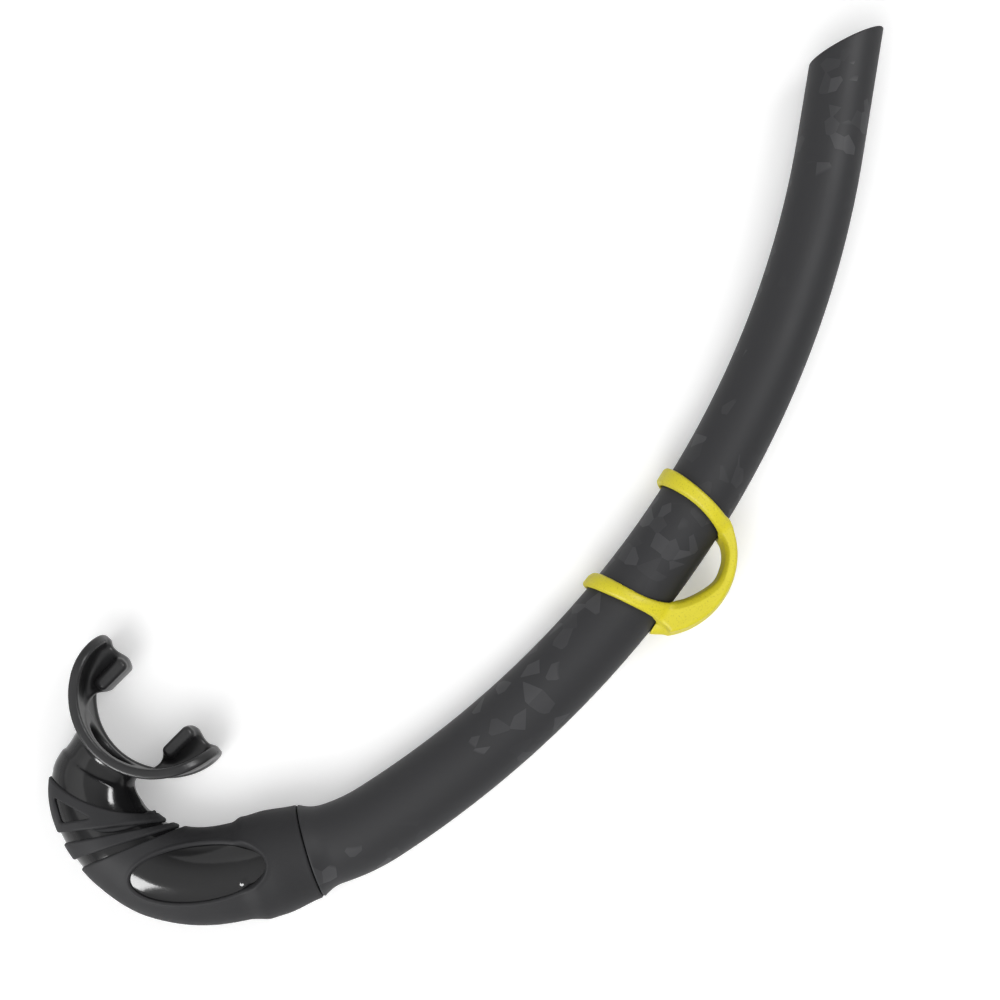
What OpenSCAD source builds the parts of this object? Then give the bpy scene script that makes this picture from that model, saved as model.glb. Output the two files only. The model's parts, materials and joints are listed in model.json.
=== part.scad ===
// Plain J-type snorkel: curved tube, push-on mouthpiece with overmoulded bands, and strap keeper.
// It lies on its side: the J lies level, +X runs along the tube to its open top, +Y to the hollow of the J.

/* [Tube] */
// Radius of the tube's main bend, to its centreline
bend_r = 366; // [280:1:500]
// Turn of the main bend, in degrees
bend_turn = 47.5; // [40:0.5:55]
// Outside diameter of the straight top
top_d = 24.8; // [22:0.1:27]
// Outside diameter at the foot, where the shoulder starts
foot_d = 28.5; // [27:0.1:31]
// Wall of the tube
tube_wall = 2.2; // [1.6:0.1:3]
// Straight top, from the bend to the middle of the slanted cut
top_len = 39; // [25:1:80]
// Slant of the cut across the top, in degrees from square
cut_slant = 36; // [10:1:40]
// Radius of the tighter bend above the mouthpiece
toe_r = 70; // [50:1:140]
// Turn of that tighter bend, in degrees
toe_turn = 15; // [8:1:25]

/* [Shoulder and spigot] */
// Diameter of the shoulder at the seam with the mouthpiece
shoulder_d = 33.8; // [33.4:0.1:36.5]
// Length of the flare that ends in the shoulder
shoulder_len = 8; // [5:0.5:14]
// Outside diameter of the spigot inside the mouthpiece
spigot_d = 26; // [24:0.1:27]
// Length of the spigot beyond the seam
spigot_len = 18; // [14:0.5:20]
// Wall of the spigot
spigot_wall = 2; // [1.6:0.1:2.6]
// Height of the spigot's snap bead
bead_h = 0.7; // [0.4:0.1:1]
// Place of the snap bead, measured from the seam
bead_at = 11; // [8:0.5:12]
// Radial clearance of the turning fit between spigot and socket
swivel_clear = 0.06; // [0.02:0.01:0.1]
// Gap in the seam between shoulder and mouthpiece
seam_gap = 0.3; // [0.2:0.05:0.6]

/* [Mouthpiece elbow] */
// Wall of the socket round the spigot
socket_wall = 2.6; // [2:0.1:3]
// Straight start of the elbow, measured from the seam
lead_len = 20; // [18:0.5:30]
// Centreline radius of the elbow's first bend
first_bend_r = 55; // [45:0.5:70]
// Turn of the first bend, in degrees
first_bend_turn = 50; // [40:1:60]
// Centreline radius of the elbow's second bend
second_bend_r = 25.5; // [24:0.5:40]
// Turn of the second bend up to the lip flange, in degrees
second_bend_turn = 86; // [78:1:92]
// Outside of the elbow's first bend, measured from its centreline in the plane of the J
elbow_out = 16.6; // [16:0.1:17.5]
// Hollow side of the first bend, just past the spigot
elbow_in = 16.6; // [16:0.1:17.5]
// Outside of the second bend, under the narrow band
bend_out = 13.9; // [13.5:0.1:15]
// Hollow side of the elbow where the bands run together
bend_in = 15.1; // [14:0.1:16]
// Outside of the neck, between the bands and the lip flange
neck_out = 15.2; // [14:0.1:16.5]
// Hollow side of the neck
neck_in = 16.1; // [14:0.1:17]
// Outside of the neck's root at the lip flange
root_out = 13; // [12:0.1:15]
// Hollow side of the neck's root
root_in = 14; // [12:0.1:15]
// Height of the elbow across the plane of the J
elbow_h = 31; // [29:0.1:33]
// Height of the neck at the lip flange
neck_h = 23; // [20:0.1:28]
// Wall of the elbow and the neck round the airway
elbow_wall = 2.7; // [2:0.1:3.5]

/* [Overmoulded covers] */
// Thickness of the covers on the bend
cover_t = 1; // [0.6:0.1:1.6]
// Diameter of the raised collar that the sleeve has over the spigot
collar_d = 37.1; // [36:0.1:39]
// Bond line between a cover and the elbow under it
bond_gap = 0.1; // [0.1:0.01:0.2]
// Length of the sleeve's oval window along the elbow
window_len = 47.5; // [36:0.5:50]
// Width of the oval window
window_w = 20; // [14:0.5:24]
// Middle of the oval window, measured along the elbow from the seam
window_at = 39; // [36:0.5:41]
// How far that middle lies off the elbow's centreline, towards the hollow
window_off = 1.2; // [0:0.1:4]
// Turn of the oval window off the elbow's own direction, in degrees
window_turn = 10.5; // [-12:0.5:12]
// Angle of the sleeve's upper edge past the start of the second bend, in degrees
sleeve_edge = 34.4; // [32:0.1:37]
// Angle of the narrow band's lower edge
narrow_low = 38.6; // [38:0.1:41]
// Angle of the narrow band's upper edge
narrow_high = 45.8; // [43:0.1:47]
// Angle of the wedge band's lower edge
wedge_low = 50.1; // [49:0.1:53]
// Turn into the second bend at which the wedge band's curved upper edge crosses its centreline
wedge_at = 47; // [44:0.5:54]
// Slant of that upper edge across the bend, in degrees
wedge_slant = 30.5; // [24:0.5:32]
// Radius of that upper edge
wedge_bow_r = 58; // [52:1:100]

/* [Lip flange and bite tabs] */
// Turn from the spigot axis to the mouth axis, in degrees
mouth_turn = 152; // [145:1:160]
// Outside radius of the lip flange
flange_r = 29.3; // [27:0.1:33]
// How far the middle of the lip flange lies off the neck's centreline
flange_shift = 0.5; // [0:0.1:3]
// Half of the lip flange's arc, in degrees
flange_half = 91; // [80:1:96]
// Height of the lip flange
flange_h = 36; // [30:0.5:37]
// Wall of the lip flange
flange_t = 2.2; // [1.6:0.1:3]
// Thickness of the rolled rim of the lip flange
rim_d = 3.4; // [2.6:0.1:4.4]
// Length of the rounded end of each flange arm, in degrees of the flange's arc
tip_arc = 32; // [20:1:45]
// Thickness of a bite tab
tab_t = 4.5; // [3:0.1:6]
// Length of a bite tab along the mouth axis
tab_len = 21; // [14:0.5:22]
// Distance of a bite tab's end from the middle of the lip flange
tab_end = 0.5; // [0:0.1:3]
// Distance between the two bite lugs, face to face
lug_gap = 29; // [26:0.5:32]
// Length of a bite lug
lug_len = 13; // [10:0.5:15]
// Distance of a bite lug's end from the middle of the lip flange
lug_end = 0.6; // [0:0.1:3]
// Thickness of a bite lug
lug_t = 5; // [3.5:0.1:6]
// Height of a bite lug, above and below the tab together
lug_h = 15; // [10:0.5:20]

/* [Keeper] */
// Place of the keeper's middle on the main bend, in degrees from its middle
keeper_at = -1.9; // [-5:0.1:5]
// Distance between the keeper's two rings along the tube
keeper_span = 42.5; // [38:0.5:45]
// Width of a keeper ring
ring_w = 6.3; // [5:0.1:8]
// Wall of a keeper ring
ring_wall = 2.7; // [2:0.1:4]
// Lean of the upper ring towards the other on the strap side, in degrees
upper_lean = 8.5; // [0:0.5:12]
// Lean of the lower ring towards the other on the strap side, in degrees
lower_lean = 15; // [0:0.5:18]
// Deepest gap for the strap between tube and bridge
strap_gap = 7.8; // [5:0.1:10]
// Radius of the hollow side of the bridge
strap_r = 16.3; // [14:0.1:18]
// How far the middle of that hollow lies from the keeper's middle, towards the tube's top
strap_shift = 3; // [0:0.1:4]
// Thickness of the bridge in its middle
bridge_t = 5.8; // [4:0.1:7]
// Height of the bridge across the plane of the J
bridge_h = 17; // [12:0.5:20]
// How far the keeper slides down the main bend, in degrees
keeper_down = 5; // [2:0.5:8]
// Radial clearance between keeper and tube at the end of that slide
keeper_clear = 0.2; // [0.1:0.05:0.5]

/* [Hidden] */
$fn = 96;

// Steps of the turned profiles and lofted skins
flare_steps = 8;
bore_steps = 6;
tube_sides = 40;
tube_steps = 18;
elbow_sides = 36;
elbow_pitch = 3.3;
airway_pitch = 4.5;
sleeve_steps = 24;
narrow_steps = 2;
wedge_steps = 6;
flange_steps = 30;
flange_sides = 12;
lug_steps = 10;
lug_sides = 16;
window_steps = 40;
cut_rounds = 16;

// Colours
tube_grey = "#3c3c3e";
gloss_black = "#1c1c1e";
matte_black = "#323234";
keeper_yellow = "#e0d632";

// The ends of the bent tube lie this much inside the walls that they run into
end_narrow = 0.25;
past = 1;

// Small helpers
function dir(a) = [cos(a), sin(a)];
function ease(t) = t * t * (3 - 2 * t);
function clamp(t) = min(1, max(0, t));
function arc_len(r, a) = r * a * PI / 180;
function arc_turn(r, l) = l / r * 180 / PI;
function flat(rings) = [for (r = rings) each r];

// Value at s in rows of [s, value], eased from row to row
function eased(s, rows, i = 0) =
    s <= rows[0][0] ? rows[0][1] :
    i + 1 >= len(rows) ? rows[i][1] :
    s > rows[i + 1][0] ? eased(s, rows, i + 1) :
    rows[i][1] + (rows[i + 1][1] - rows[i][1]) * ease((s - rows[i][0]) / (rows[i + 1][0] - rows[i][0]));

// Tube centreline: angles run about the centre of the main bend, from -Y, and outwards is away from it
lean = 1.25;
phi_top = bend_turn / 2 - lean;
phi_toe = -bend_turn / 2 - lean;
phi_foot = phi_toe - toe_turn;
function outward(phi) = [sin(phi), -cos(phi)];
toe_centre = (bend_r - toe_r) * outward(phi_toe);
function tube_pt(phi) = phi >= phi_toe ? bend_r * outward(phi) : toe_centre + toe_r * outward(phi);
function tube_run(phi) = phi >= phi_toe ?
    arc_len(toe_r, toe_turn) + arc_len(bend_r, phi - phi_toe) : arc_len(toe_r, phi - phi_foot);
function tube_r(phi) = (foot_d + (top_d - foot_d) * tube_run(phi) / tube_run(phi_top)) / 2;
foot_heading = 180 + phi_foot;
seam = tube_pt(phi_foot) + shoulder_len * dir(foot_heading);
top_mid = tube_pt(phi_top) + top_len * dir(phi_top);

// Elbow centreline in the mouthpiece's own plane: the seam is at the origin, the spigot axis is +X,
// and the elbow turns towards -Y
first_len = arc_len(first_bend_r, first_bend_turn);
s_second = lead_len + first_len;
s_flange = s_second + arc_len(second_bend_r, second_bend_turn);
function after_arc(p, heading, r, turn) = p + r * dir(heading - 90) + r * dir(heading - turn + 90);
second_start = after_arc([lead_len, 0], 0, first_bend_r, first_bend_turn);
second_centre = second_start + second_bend_r * dir(-first_bend_turn - 90);
function elbow_turn(s) = s <= lead_len ? 0 :
    s <= s_second ? arc_turn(first_bend_r, s - lead_len) :
    first_bend_turn + arc_turn(second_bend_r, s - s_second);
function elbow_pt(s) = s <= lead_len ? [s, 0] :
    s <= s_second ? after_arc([lead_len, 0], 0, first_bend_r, elbow_turn(s)) :
    after_arc(second_start, -first_bend_turn, second_bend_r, elbow_turn(s) - first_bend_turn);
function elbow_side(s) = dir(90 - elbow_turn(s));

// Elbow sections: ovals that grow from the round socket, are slimmest under the bands, swell again in the
// neck and narrow to its root. Their outside and their hollow side are measured from the centreline.
socket_r = spigot_d / 2 + swivel_clear;
socket_d = 2 * (socket_r + socket_wall);
grow_len = 9;
root_len = 5;
core_out_rows = [[spigot_len, socket_d / 2], [s_second - 24, elbow_out], [s_second - 16, elbow_out],
    [s_second + 9, bend_out], [s_flange - 11, neck_out], [s_flange - 8, neck_out], [s_flange, root_out]];
core_in_rows = [[spigot_len, socket_d / 2], [spigot_len + 6, elbow_in], [s_second - 16, bend_in],
    [s_second - 12, bend_in], [s_second + 2, neck_in], [s_second + 12, neck_in],
    [s_flange - root_len, root_in]];
core_h_rows = [[spigot_len, socket_d], [spigot_len + grow_len, elbow_h],
    [s_second, elbow_h], [s_flange - root_len, neck_h]];
function core_out(s) = eased(s, core_out_rows);
function core_in(s) = eased(s, core_in_rows);
function core_b(s) = eased(s, core_h_rows) / 2;

// Airway: it starts as wide as the spigot's bore and opens to the elbow less its wall
spigot_ir = spigot_d / 2 - spigot_wall;
airway_open = 14;
stop_at = spigot_len + seam_gap;
function airway(s, full) =
    spigot_ir + (full - elbow_wall - spigot_ir) * ease(clamp((s - stop_at) / airway_open));

// Cover thickness over the elbow: a collar that swells from the seam and ends softly, then an even skin
collar_swell = 14;
collar_step = 6;
collar_end = spigot_len + 1.5;
collar_rows = [[0, shoulder_d / 2], [collar_swell, collar_d / 2]];
function sleeve_t(s) = let (collar = eased(s, collar_rows) - socket_d / 2)
    collar + (cover_t - collar) * ease(clamp((s - collar_end) / collar_step));

// Cover edges: straight cuts that fan out from a point in the hollow of the elbow, and one arc.
// A straight edge is [point, angle], an arc is [centre, undef, radius].
fan_back = 18.6;
fan_in = 1.8;
fan_point = second_centre - fan_back * dir(-first_bend_turn) - fan_in * dir(90 - first_bend_turn);
function fan_edge(a) = [fan_point, 90 - first_bend_turn - a];
wedge_dir = 90 - first_bend_turn - wedge_at;
wedge_arc = [second_centre + second_bend_r * dir(wedge_dir) + wedge_bow_r * dir(wedge_dir - wedge_slant - 90),
    undef, wedge_bow_r];
function oval_pt(s, t, out, in, b) =
    concat(elbow_pt(s) + (cos(t) > 0 ? out : in) * cos(t) * elbow_side(s), [b * sin(t)]);
function elbow_skin(s, t, extra) = oval_pt(s, t, core_out(s) + extra, core_in(s) + extra, core_b(s) + extra);
function before(p, edge) = let (q = [p.x, p.y] - edge[0])
    is_undef(edge[2]) ? cross(dir(edge[1]), q) : norm(q) - edge[2];
function cut_s(t, edge, lo, hi, rounds = cut_rounds) = let (mid = (lo + hi) / 2)
    rounds == 0 ? mid :
    before(elbow_skin(mid, t, cover_t), edge) > 0 ? cut_s(t, edge, mid, hi, rounds - 1) :
    cut_s(t, edge, lo, mid, rounds - 1);

// Lip flange: a half ring about the mouth's middle, open along the mouth axis
mouth_mid = elbow_pt(s_flange) + flange_r * dir(-mouth_turn) + flange_shift * dir(90 - mouth_turn);
flange_mid_r = flange_r - flange_t / 2;
rim_r = rim_d / 2;
lug_y = lug_gap / 2 + lug_t / 2;

// Keeper: its middle, its rings and its bore, which clears the tube over the whole slide
keeper_phi = keeper_at - lean;
ring_turn = arc_turn(bend_r, keeper_span / 2);
keeper_bore_r = tube_r(keeper_phi - ring_turn - keeper_down) + keeper_clear;
ring_out_r = keeper_bore_r + ring_wall;
strap_reach = tube_r(keeper_phi) + strap_gap;
strap_mid = [strap_shift, strap_r - strap_reach];
bridge_out = strap_reach + bridge_t;
bridge_mid = [-0.5, 0.3];
bridge_r = bridge_out + bridge_mid.y;
bridge_round = 2.5;
ring_round = 1.3;
bore_turn = 16;

// Resting place: the lowest points touch z = 0 and the box round the part is centred on the Z axis
function to_world(p) = seam + [p.x * cos(foot_heading) - p.y * sin(foot_heading),
    p.x * sin(foot_heading) + p.y * cos(foot_heading)];
tip = top_mid + top_d / 2 * (tan(cut_slant) * dir(phi_top) + outward(phi_top));
bend_outline = [for (s = [lead_len : 0.5 : s_flange])
    to_world(elbow_pt(s) + (core_out(s) + cover_t) * elbow_side(s))];
rest_z = max(collar_d / 2, flange_h / 2, ring_out_r);
box_mid = [(min([for (p = bend_outline) p.x]) + tip.x) / 2,
    (to_world(mouth_mid).y + flange_mid_r + rim_r - (bend_r + bridge_out) * cos(keeper_phi)) / 2];

module at_rest() { translate([-box_mid.x, -box_mid.y, rest_z]) children(); }
module at_seam() { at_rest() translate(seam) rotate(foot_heading) children(); }
module at_tube(phi) { at_rest() translate(tube_pt(phi)) rotate(phi) children(); }
module along_x() { rotate([0, 90, 0]) children(); }

// Faces of a skin over rings of n points, and of the ring-shaped ends between two skins
function skin_faces(count, n, base, out) = [for (k = [0 : count - 2], i = [0 : n - 1])
    let (a = base + k * n + i, b = base + k * n + (i + 1) % n, c = b + n, d = a + n)
    each out ? [[a, d, c], [a, c, b]] : [[a, c, d], [a, b, c]]];
function end_faces(n, o, i, start) = [for (k = [0 : n - 1])
    let (a = o + k, b = o + (k + 1) % n, c = i + (k + 1) % n, d = i + k)
    each start ? [[a, b, c], [a, c, d]] : [[a, c, b], [a, d, c]]];

// Closed solid through a list of rings
module loft(rings) {
    n = len(rings[0]);
    last = (len(rings) - 1) * n;
    polyhedron(flat(rings), concat(
        [[for (i = [0 : n - 1]) i], [for (i = [0 : n - 1]) last + n - 1 - i]],
        skin_faces(len(rings), n, 0, true)));
}

// Hollow solid between an outer and an inner list of rings
module shell(outer, inner) {
    n = len(outer[0]);
    count = len(outer);
    base = count * n;
    polyhedron(flat(concat(outer, inner)), concat(
        skin_faces(count, n, 0, true), skin_faces(count, n, base, false),
        end_faces(n, 0, base, true), end_faces(n, base - n, 2 * base - n, false)));
}

// Rectangle with round corners, centred
module soft_rect(w, h, r) {
    square([w - 2 * r, h], center = true);
    square([w, h - 2 * r], center = true);
    for (x = [-1, 1], y = [-1, 1]) translate([x * (w / 2 - r), y * (h / 2 - r)]) circle(r);
}

// Bent and tapered length of the tube. Its ends narrow and run into the walls of the straight top and the
// shoulder.
function tube_ring(p, phi, r) = [for (i = [0 : tube_sides - 1]) let (t = 360 * i / tube_sides)
    concat(p - r * cos(t) * outward(phi), [r * sin(t)])];
function tube_rings(narrow, wall) = let (
    low = phi_foot + arc_turn(toe_r, past), high = phi_top - arc_turn(bend_r, past),
    foot_r = tube_r(phi_foot) - wall - narrow, top_r = tube_r(phi_top) - wall - narrow)
    concat([tube_ring(tube_pt(phi_foot) + past * dir(foot_heading), phi_foot, foot_r),
        tube_ring(tube_pt(phi_foot), phi_foot, foot_r)],
    [for (i = [0 : tube_steps]) let (phi = low + (high - low) * i / tube_steps)
        tube_ring(tube_pt(phi), phi, tube_r(phi) - wall)],
    [tube_ring(tube_pt(phi_top), phi_top, top_r),
        tube_ring(tube_pt(phi_top) + past * dir(phi_top), phi_top, top_r)]);
module tube_bend() {
    at_rest() shell(tube_rings(end_narrow, 0), tube_rings(-end_narrow, tube_wall));
}

// Straight top of the tube with its slanted mouth
module tube_top() {
    reach = top_len + top_d;
    at_tube(phi_top) difference() {
        along_x() cylinder(d = top_d, h = reach);
        translate([-past, 0, 0]) along_x() cylinder(d = top_d - 2 * tube_wall, h = reach + 2 * past);
        translate([top_len, 0, 0]) rotate(cut_slant) translate([0, -reach, -reach])
            cube([reach, 2 * reach, 2 * reach]);
    }
}

// Shoulder, spigot and snap bead, turned about the spigot axis; x runs from the shoulder's start
module spigot() {
    foot_r = foot_d / 2;
    bead_x = shoulder_len + bead_at;
    end_x = shoulder_len + spigot_len;
    flare = [for (i = [0 : flare_steps])
        [shoulder_len * i / flare_steps, foot_r + (shoulder_d / 2 - foot_r) * pow(i / flare_steps, 2)]];
    bore = [for (i = [bore_steps : -1 : 0]) [shoulder_len * i / bore_steps,
        foot_r - tube_wall + (spigot_ir - foot_r + tube_wall) * ease(i / bore_steps)]];
    outline = concat(flare, [[shoulder_len, spigot_d / 2], [end_x, spigot_d / 2], [end_x, spigot_ir]], bore);
    at_seam() translate([-shoulder_len, 0, 0]) along_x() rotate_extrude() {
        polygon([for (p = outline) [p.y, p.x]]);
        translate([spigot_d / 2 - bead_h, bead_x]) circle(2 * bead_h);
    }
}

module tube() {
    color(tube_grey) {
        tube_bend();
        tube_top();
        spigot();
    }
}

// Socket that takes the spigot, with a groove for its bead
module socket() {
    along_x() rotate_extrude() {
        translate([0, -past]) square([socket_r, stop_at + past]);
        translate([spigot_d / 2 - bead_h, bead_at]) circle(2 * bead_h + 2 * swivel_clear);
    }
}

// Rings of the elbow and of its airway between two places on its centreline
function elbow_stops(from, to, pitch) = let (n = ceil((to - from) / pitch))
    [for (i = [0 : n]) from + (to - from) * i / n];
function oval_ring(s, out, in, b) =
    [for (i = [0 : elbow_sides - 1]) oval_pt(s, 360 * i / elbow_sides, out, in, b)];

// Elbow and neck; the neck ends inside the wall of the lip flange
neck_past = 9;
module elbow() {
    difference() {
        loft([for (s = elbow_stops(seam_gap, s_flange + neck_past, elbow_pitch))
            oval_ring(s, core_out(s), core_in(s), core_b(s))]);
        translate(mouth_mid) cylinder(r = flange_mid_r, h = 2 * flange_h, center = true);
    }
}

module airway_core() {
    loft([for (s = elbow_stops(stop_at - past, s_flange + neck_past + past, airway_pitch))
        oval_ring(s, airway(s, core_out(s)), airway(s, core_in(s)), airway(s, core_b(s)))]);
}

// Lip flange: thin wall, rolled rim, arms with rounded ends
function arm_half_h(theta) = let (u = clamp((abs(theta) - flange_half + tip_arc) / tip_arc))
    rim_r + (flange_h / 2 - rim_r) * sqrt(1 - u * u);
function wall_half_t(d) = d < rim_r ? sqrt(rim_r * rim_r - pow(rim_r - d, 2)) :
    rim_r + (flange_t / 2 - rim_r) * ease(clamp(d / rim_r - 1));
function flange_ring(theta) = let (h = arm_half_h(theta), u = dir(180 - mouth_turn + theta))
    [for (k = [0 : 2 * flange_sides - 1])
        let (z = -h * cos(180 * k / flange_sides), side = k <= flange_sides ? -1 : 1,
            r = flange_mid_r + side * wall_half_t(h - abs(z)))
        concat(mouth_mid + r * u, [z])];
module lip_flange() {
    loft([for (i = [0 : flange_steps]) flange_ring(flange_half * sin(180 * i / flange_steps - 90))]);
}

// Bite tab with its lug, on one arm of the lip flange
lug_sweep = 85;
function squared(u) = sign(u) * sqrt(abs(u));
function lug_ring(x) = let (k = pow(1 - pow(2 * x / lug_len, 4), 1 / 3)) [for (i = [0 : lug_sides - 1])
    let (t = 360 * i / lug_sides) [x, lug_t / 2 * k * squared(cos(t)), lug_h / 2 * k * squared(sin(t))]];
module bite_tab() {
    linear_extrude(tab_t, center = true) intersection() {
        circle(flange_mid_r);
        translate([-tab_end - tab_len, lug_y]) square([tab_len, flange_r]);
    }
    translate([-lug_end - lug_len / 2, lug_y, 0])
        loft([for (i = [0 : lug_steps]) lug_ring(lug_len / 2 * sin(lug_sweep * (2 * i / lug_steps - 1)))]);
}

module mouthpiece() {
    color(gloss_black) at_seam() difference() {
        union() {
            elbow();
            lip_flange();
            translate(mouth_mid) rotate(-mouth_turn) {
                bite_tab();
                mirror([0, 1, 0]) bite_tab();
            }
        }
        airway_core();
        socket();
    }
}

// Cover between two edges; undef stands for the seam
function edge_s(t, edge) = is_undef(edge) ? seam_gap : cut_s(t, edge, lead_len / 2, s_flange);
function cover_rings(steps, low, high, inner) = [for (k = [0 : steps])
    [for (i = [0 : elbow_sides - 1]) let (t = 360 * i / elbow_sides,
        s0 = edge_s(t, low), s1 = edge_s(t, high), s = s0 + (s1 - s0) * k / steps)
        elbow_skin(s, t, inner ? bond_gap : sleeve_t(s))]];
module cover(steps, low, high) {
    shell(cover_rings(steps, low, high, false), cover_rings(steps, low, high, true));
}

// Oval window, cut through both sides
module oval_window() {
    mid = elbow_pt(window_at) - window_off * elbow_side(window_at);
    translate(mid) rotate(window_turn - elbow_turn(window_at))
        linear_extrude(2 * collar_d, center = true) polygon([for (i = [0 : window_steps - 1])
            let (t = 360 * i / window_steps) [window_len / 2 * cos(t), window_w / 2 * sin(t)]]);
}

module elbow_sleeve() {
    color(matte_black) at_seam() difference() {
        cover(sleeve_steps, undef, fan_edge(sleeve_edge));
        oval_window();
    }
}

module narrow_band() {
    color(matte_black) at_seam()
        cover(narrow_steps, fan_edge(narrow_low), fan_edge(narrow_high));
}

// Three-cornered window: corners as [turn into the second bend, distance out from its centreline]
wedge_corners = [[53.5, 13.4], [35, 0.4], [39, 12.2]];
module wedge_window() {
    linear_extrude(2 * collar_d, center = true) polygon([for (c = wedge_corners)
        second_centre + (second_bend_r + c[1]) * dir(90 - first_bend_turn - c[0])]);
}

module wedge_band() {
    color(matte_black) at_seam() difference() {
        cover(wedge_steps, fan_edge(wedge_low), wedge_arc);
        wedge_window();
    }
}

// Keeper ring, leaning towards the other ring on the strap side
module keeper_ring(phi, lean_angle) {
    at_tube(phi) rotate(lean_angle) along_x() rotate_extrude()
        translate([ring_out_r - ring_wall, 0]) soft_rect(2 * ring_wall, ring_w, ring_round);
}

// Bridge that the strap passes behind: a round-rimmed disc less the strap's room
module keeper_bridge() {
    at_tube(keeper_phi) difference() {
        translate(bridge_mid) intersection() {
            rotate_extrude() intersection() {
                soft_rect(2 * bridge_r, bridge_h, bridge_round);
                translate([0, -bridge_h]) square([2 * bridge_r, 2 * bridge_h]);
            }
            translate([-2 * bridge_r, -4 * bridge_r - keeper_bore_r / 2, -bridge_h])
                cube([4 * bridge_r, 4 * bridge_r, 2 * bridge_h]);
        }
        translate(strap_mid) cylinder(r = strap_r, h = 2 * bridge_h, center = true);
    }
}

module keeper() {
    color(keeper_yellow) difference() {
        union() {
            keeper_ring(keeper_phi + ring_turn, -upper_lean);
            keeper_ring(keeper_phi - ring_turn, lower_lean);
            keeper_bridge();
        }
        at_rest() rotate(keeper_phi - 90 - bore_turn / 2) rotate_extrude(angle = bore_turn)
            translate([bend_r, 0]) circle(keeper_bore_r);
    }
}

tube();
mouthpiece();
elbow_sleeve();
narrow_band();
wedge_band();
keeper();
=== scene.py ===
"""Dressed model of a plain J-type snorkel: curved tube, mouthpiece with overmoulded covers, strap keeper.

Lengths are in millimetres on the plane of the J until a mesh is made, and in metres from then on.
"""

import json
import logging
import math
from collections.abc import Callable, Sequence
from dataclasses import dataclass, field
from enum import Enum
from functools import partial

import bmesh
import bpy
import numpy as np
from mathutils import Matrix, Vector


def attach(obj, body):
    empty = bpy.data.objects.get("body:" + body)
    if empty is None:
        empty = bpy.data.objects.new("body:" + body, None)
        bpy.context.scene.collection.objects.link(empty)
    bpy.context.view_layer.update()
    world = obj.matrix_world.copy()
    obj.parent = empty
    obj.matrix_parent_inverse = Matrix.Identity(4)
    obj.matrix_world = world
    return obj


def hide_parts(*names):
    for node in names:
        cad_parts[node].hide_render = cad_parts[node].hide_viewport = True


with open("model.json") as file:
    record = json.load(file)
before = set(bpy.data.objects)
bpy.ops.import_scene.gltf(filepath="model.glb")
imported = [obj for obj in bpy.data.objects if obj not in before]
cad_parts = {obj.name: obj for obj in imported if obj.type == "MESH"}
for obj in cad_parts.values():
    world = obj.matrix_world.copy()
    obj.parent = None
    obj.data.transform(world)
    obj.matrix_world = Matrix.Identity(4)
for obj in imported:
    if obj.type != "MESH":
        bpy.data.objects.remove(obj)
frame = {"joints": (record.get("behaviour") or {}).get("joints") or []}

MM = 0.001
WRAP_MM = 100.0  # one unit of the map that is laid over the tube
JOINTS = {joint["name"]: joint for joint in frame["joints"]}
Array = np.ndarray
Field = Callable[[Array], Array]
Rows = Sequence[tuple[float, float]]
Room = Sequence[tuple[float, float, float]]
Tree = bpy.types.NodeTree
Socket = bpy.types.NodeSocket
Node = bpy.types.Node
Piece = bpy.types.Object
Layers = list[tuple[Node | Socket, str]]
log = logging.getLogger("snorkel")


# Shared helpers


def linear(hex_colour: str) -> tuple[float, float, float, float]:
    """Turns an sRGB hex value, six digits after a hash sign, into linear RGBA."""
    parts = [int(hex_colour[i : i + 2], 16) / 255 for i in (1, 3, 5)]
    return (*(c / 12.92 if c <= 0.04045 else ((c + 0.055) / 1.055) ** 2.4 for c in parts), 1.0)


def add_node(tree: Tree, kind: str, inputs: dict | None = None, **settings: object) -> Node:
    """Adds a node, with its settings and what goes into it.

    Args:
        tree: the node tree that gets the node.
        kind: Blender's name for the kind of node.
        inputs: values, outputs, or nodes for their first output, by input name or number.
        **settings: the node's own properties.

    Returns:
        The new node.
    """
    node = tree.nodes.new(kind)
    for name, value in settings.items():
        setattr(node, name, value)
    for name, value in (inputs or {}).items():
        if isinstance(value, Node):
            value = value.outputs[0]
        if isinstance(value, Socket):
            tree.links.new(value, node.inputs[name])
        else:
            node.inputs[name].default_value = value
    return node


def blank_tree(owner: bpy.types.Material | bpy.types.World) -> Tree:
    """Empties a node tree.

    Args:
        owner: the material or the world that has the tree.

    Returns:
        The tree, without nodes.
    """
    owner.use_nodes = True
    owner.node_tree.nodes.clear()
    return owner.node_tree


def put(name: str, data: bpy.types.ID) -> Piece:
    """Puts an object into the scene, at the origin.

    Args:
        name: the object's name.
        data: its mesh, curve, light or camera.

    Returns:
        The object.
    """
    made = bpy.data.objects.new(name, data)
    bpy.context.scene.collection.objects.link(made)
    return made


def points_of(mesh: bpy.types.Mesh) -> Array:
    """Gives a mesh's points in metres."""
    return np.array([vertex.co for vertex in mesh.vertices])


def eased(s: Array | float, rows: Rows) -> Array:
    """Gives the value at s in rows of (s, value), eased from row to row.

    Args:
        s: places along a centreline.
        rows: stations and their values.

    Returns:
        One value for each place.
    """
    s = np.asarray(s, float)
    out = np.full(s.shape, rows[0][1], float)
    for (s0, v0), (s1, v1) in zip(rows, rows[1:]):
        t = np.clip((s - s0) / (s1 - s0), 0, 1)
        out = np.where(s > s0, v0 + (v1 - v0) * t * t * (3 - 2 * t), out)
    return out


def merged(a: Array, b: Array, fillet: float) -> Array:
    """Joins two distance fields, with a fillet of the given size where they meet."""
    h = np.clip(0.5 + 0.5 * (b - a) / fillet, 0, 1)
    return b + (a - b) * h - fillet * h * (1 - h)


def cut_out(a: Array, b: Array, round_off: float) -> Array:
    """Takes field b out of field a and rounds the edge that this leaves."""
    return -merged(-a, b, round_off)


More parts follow.
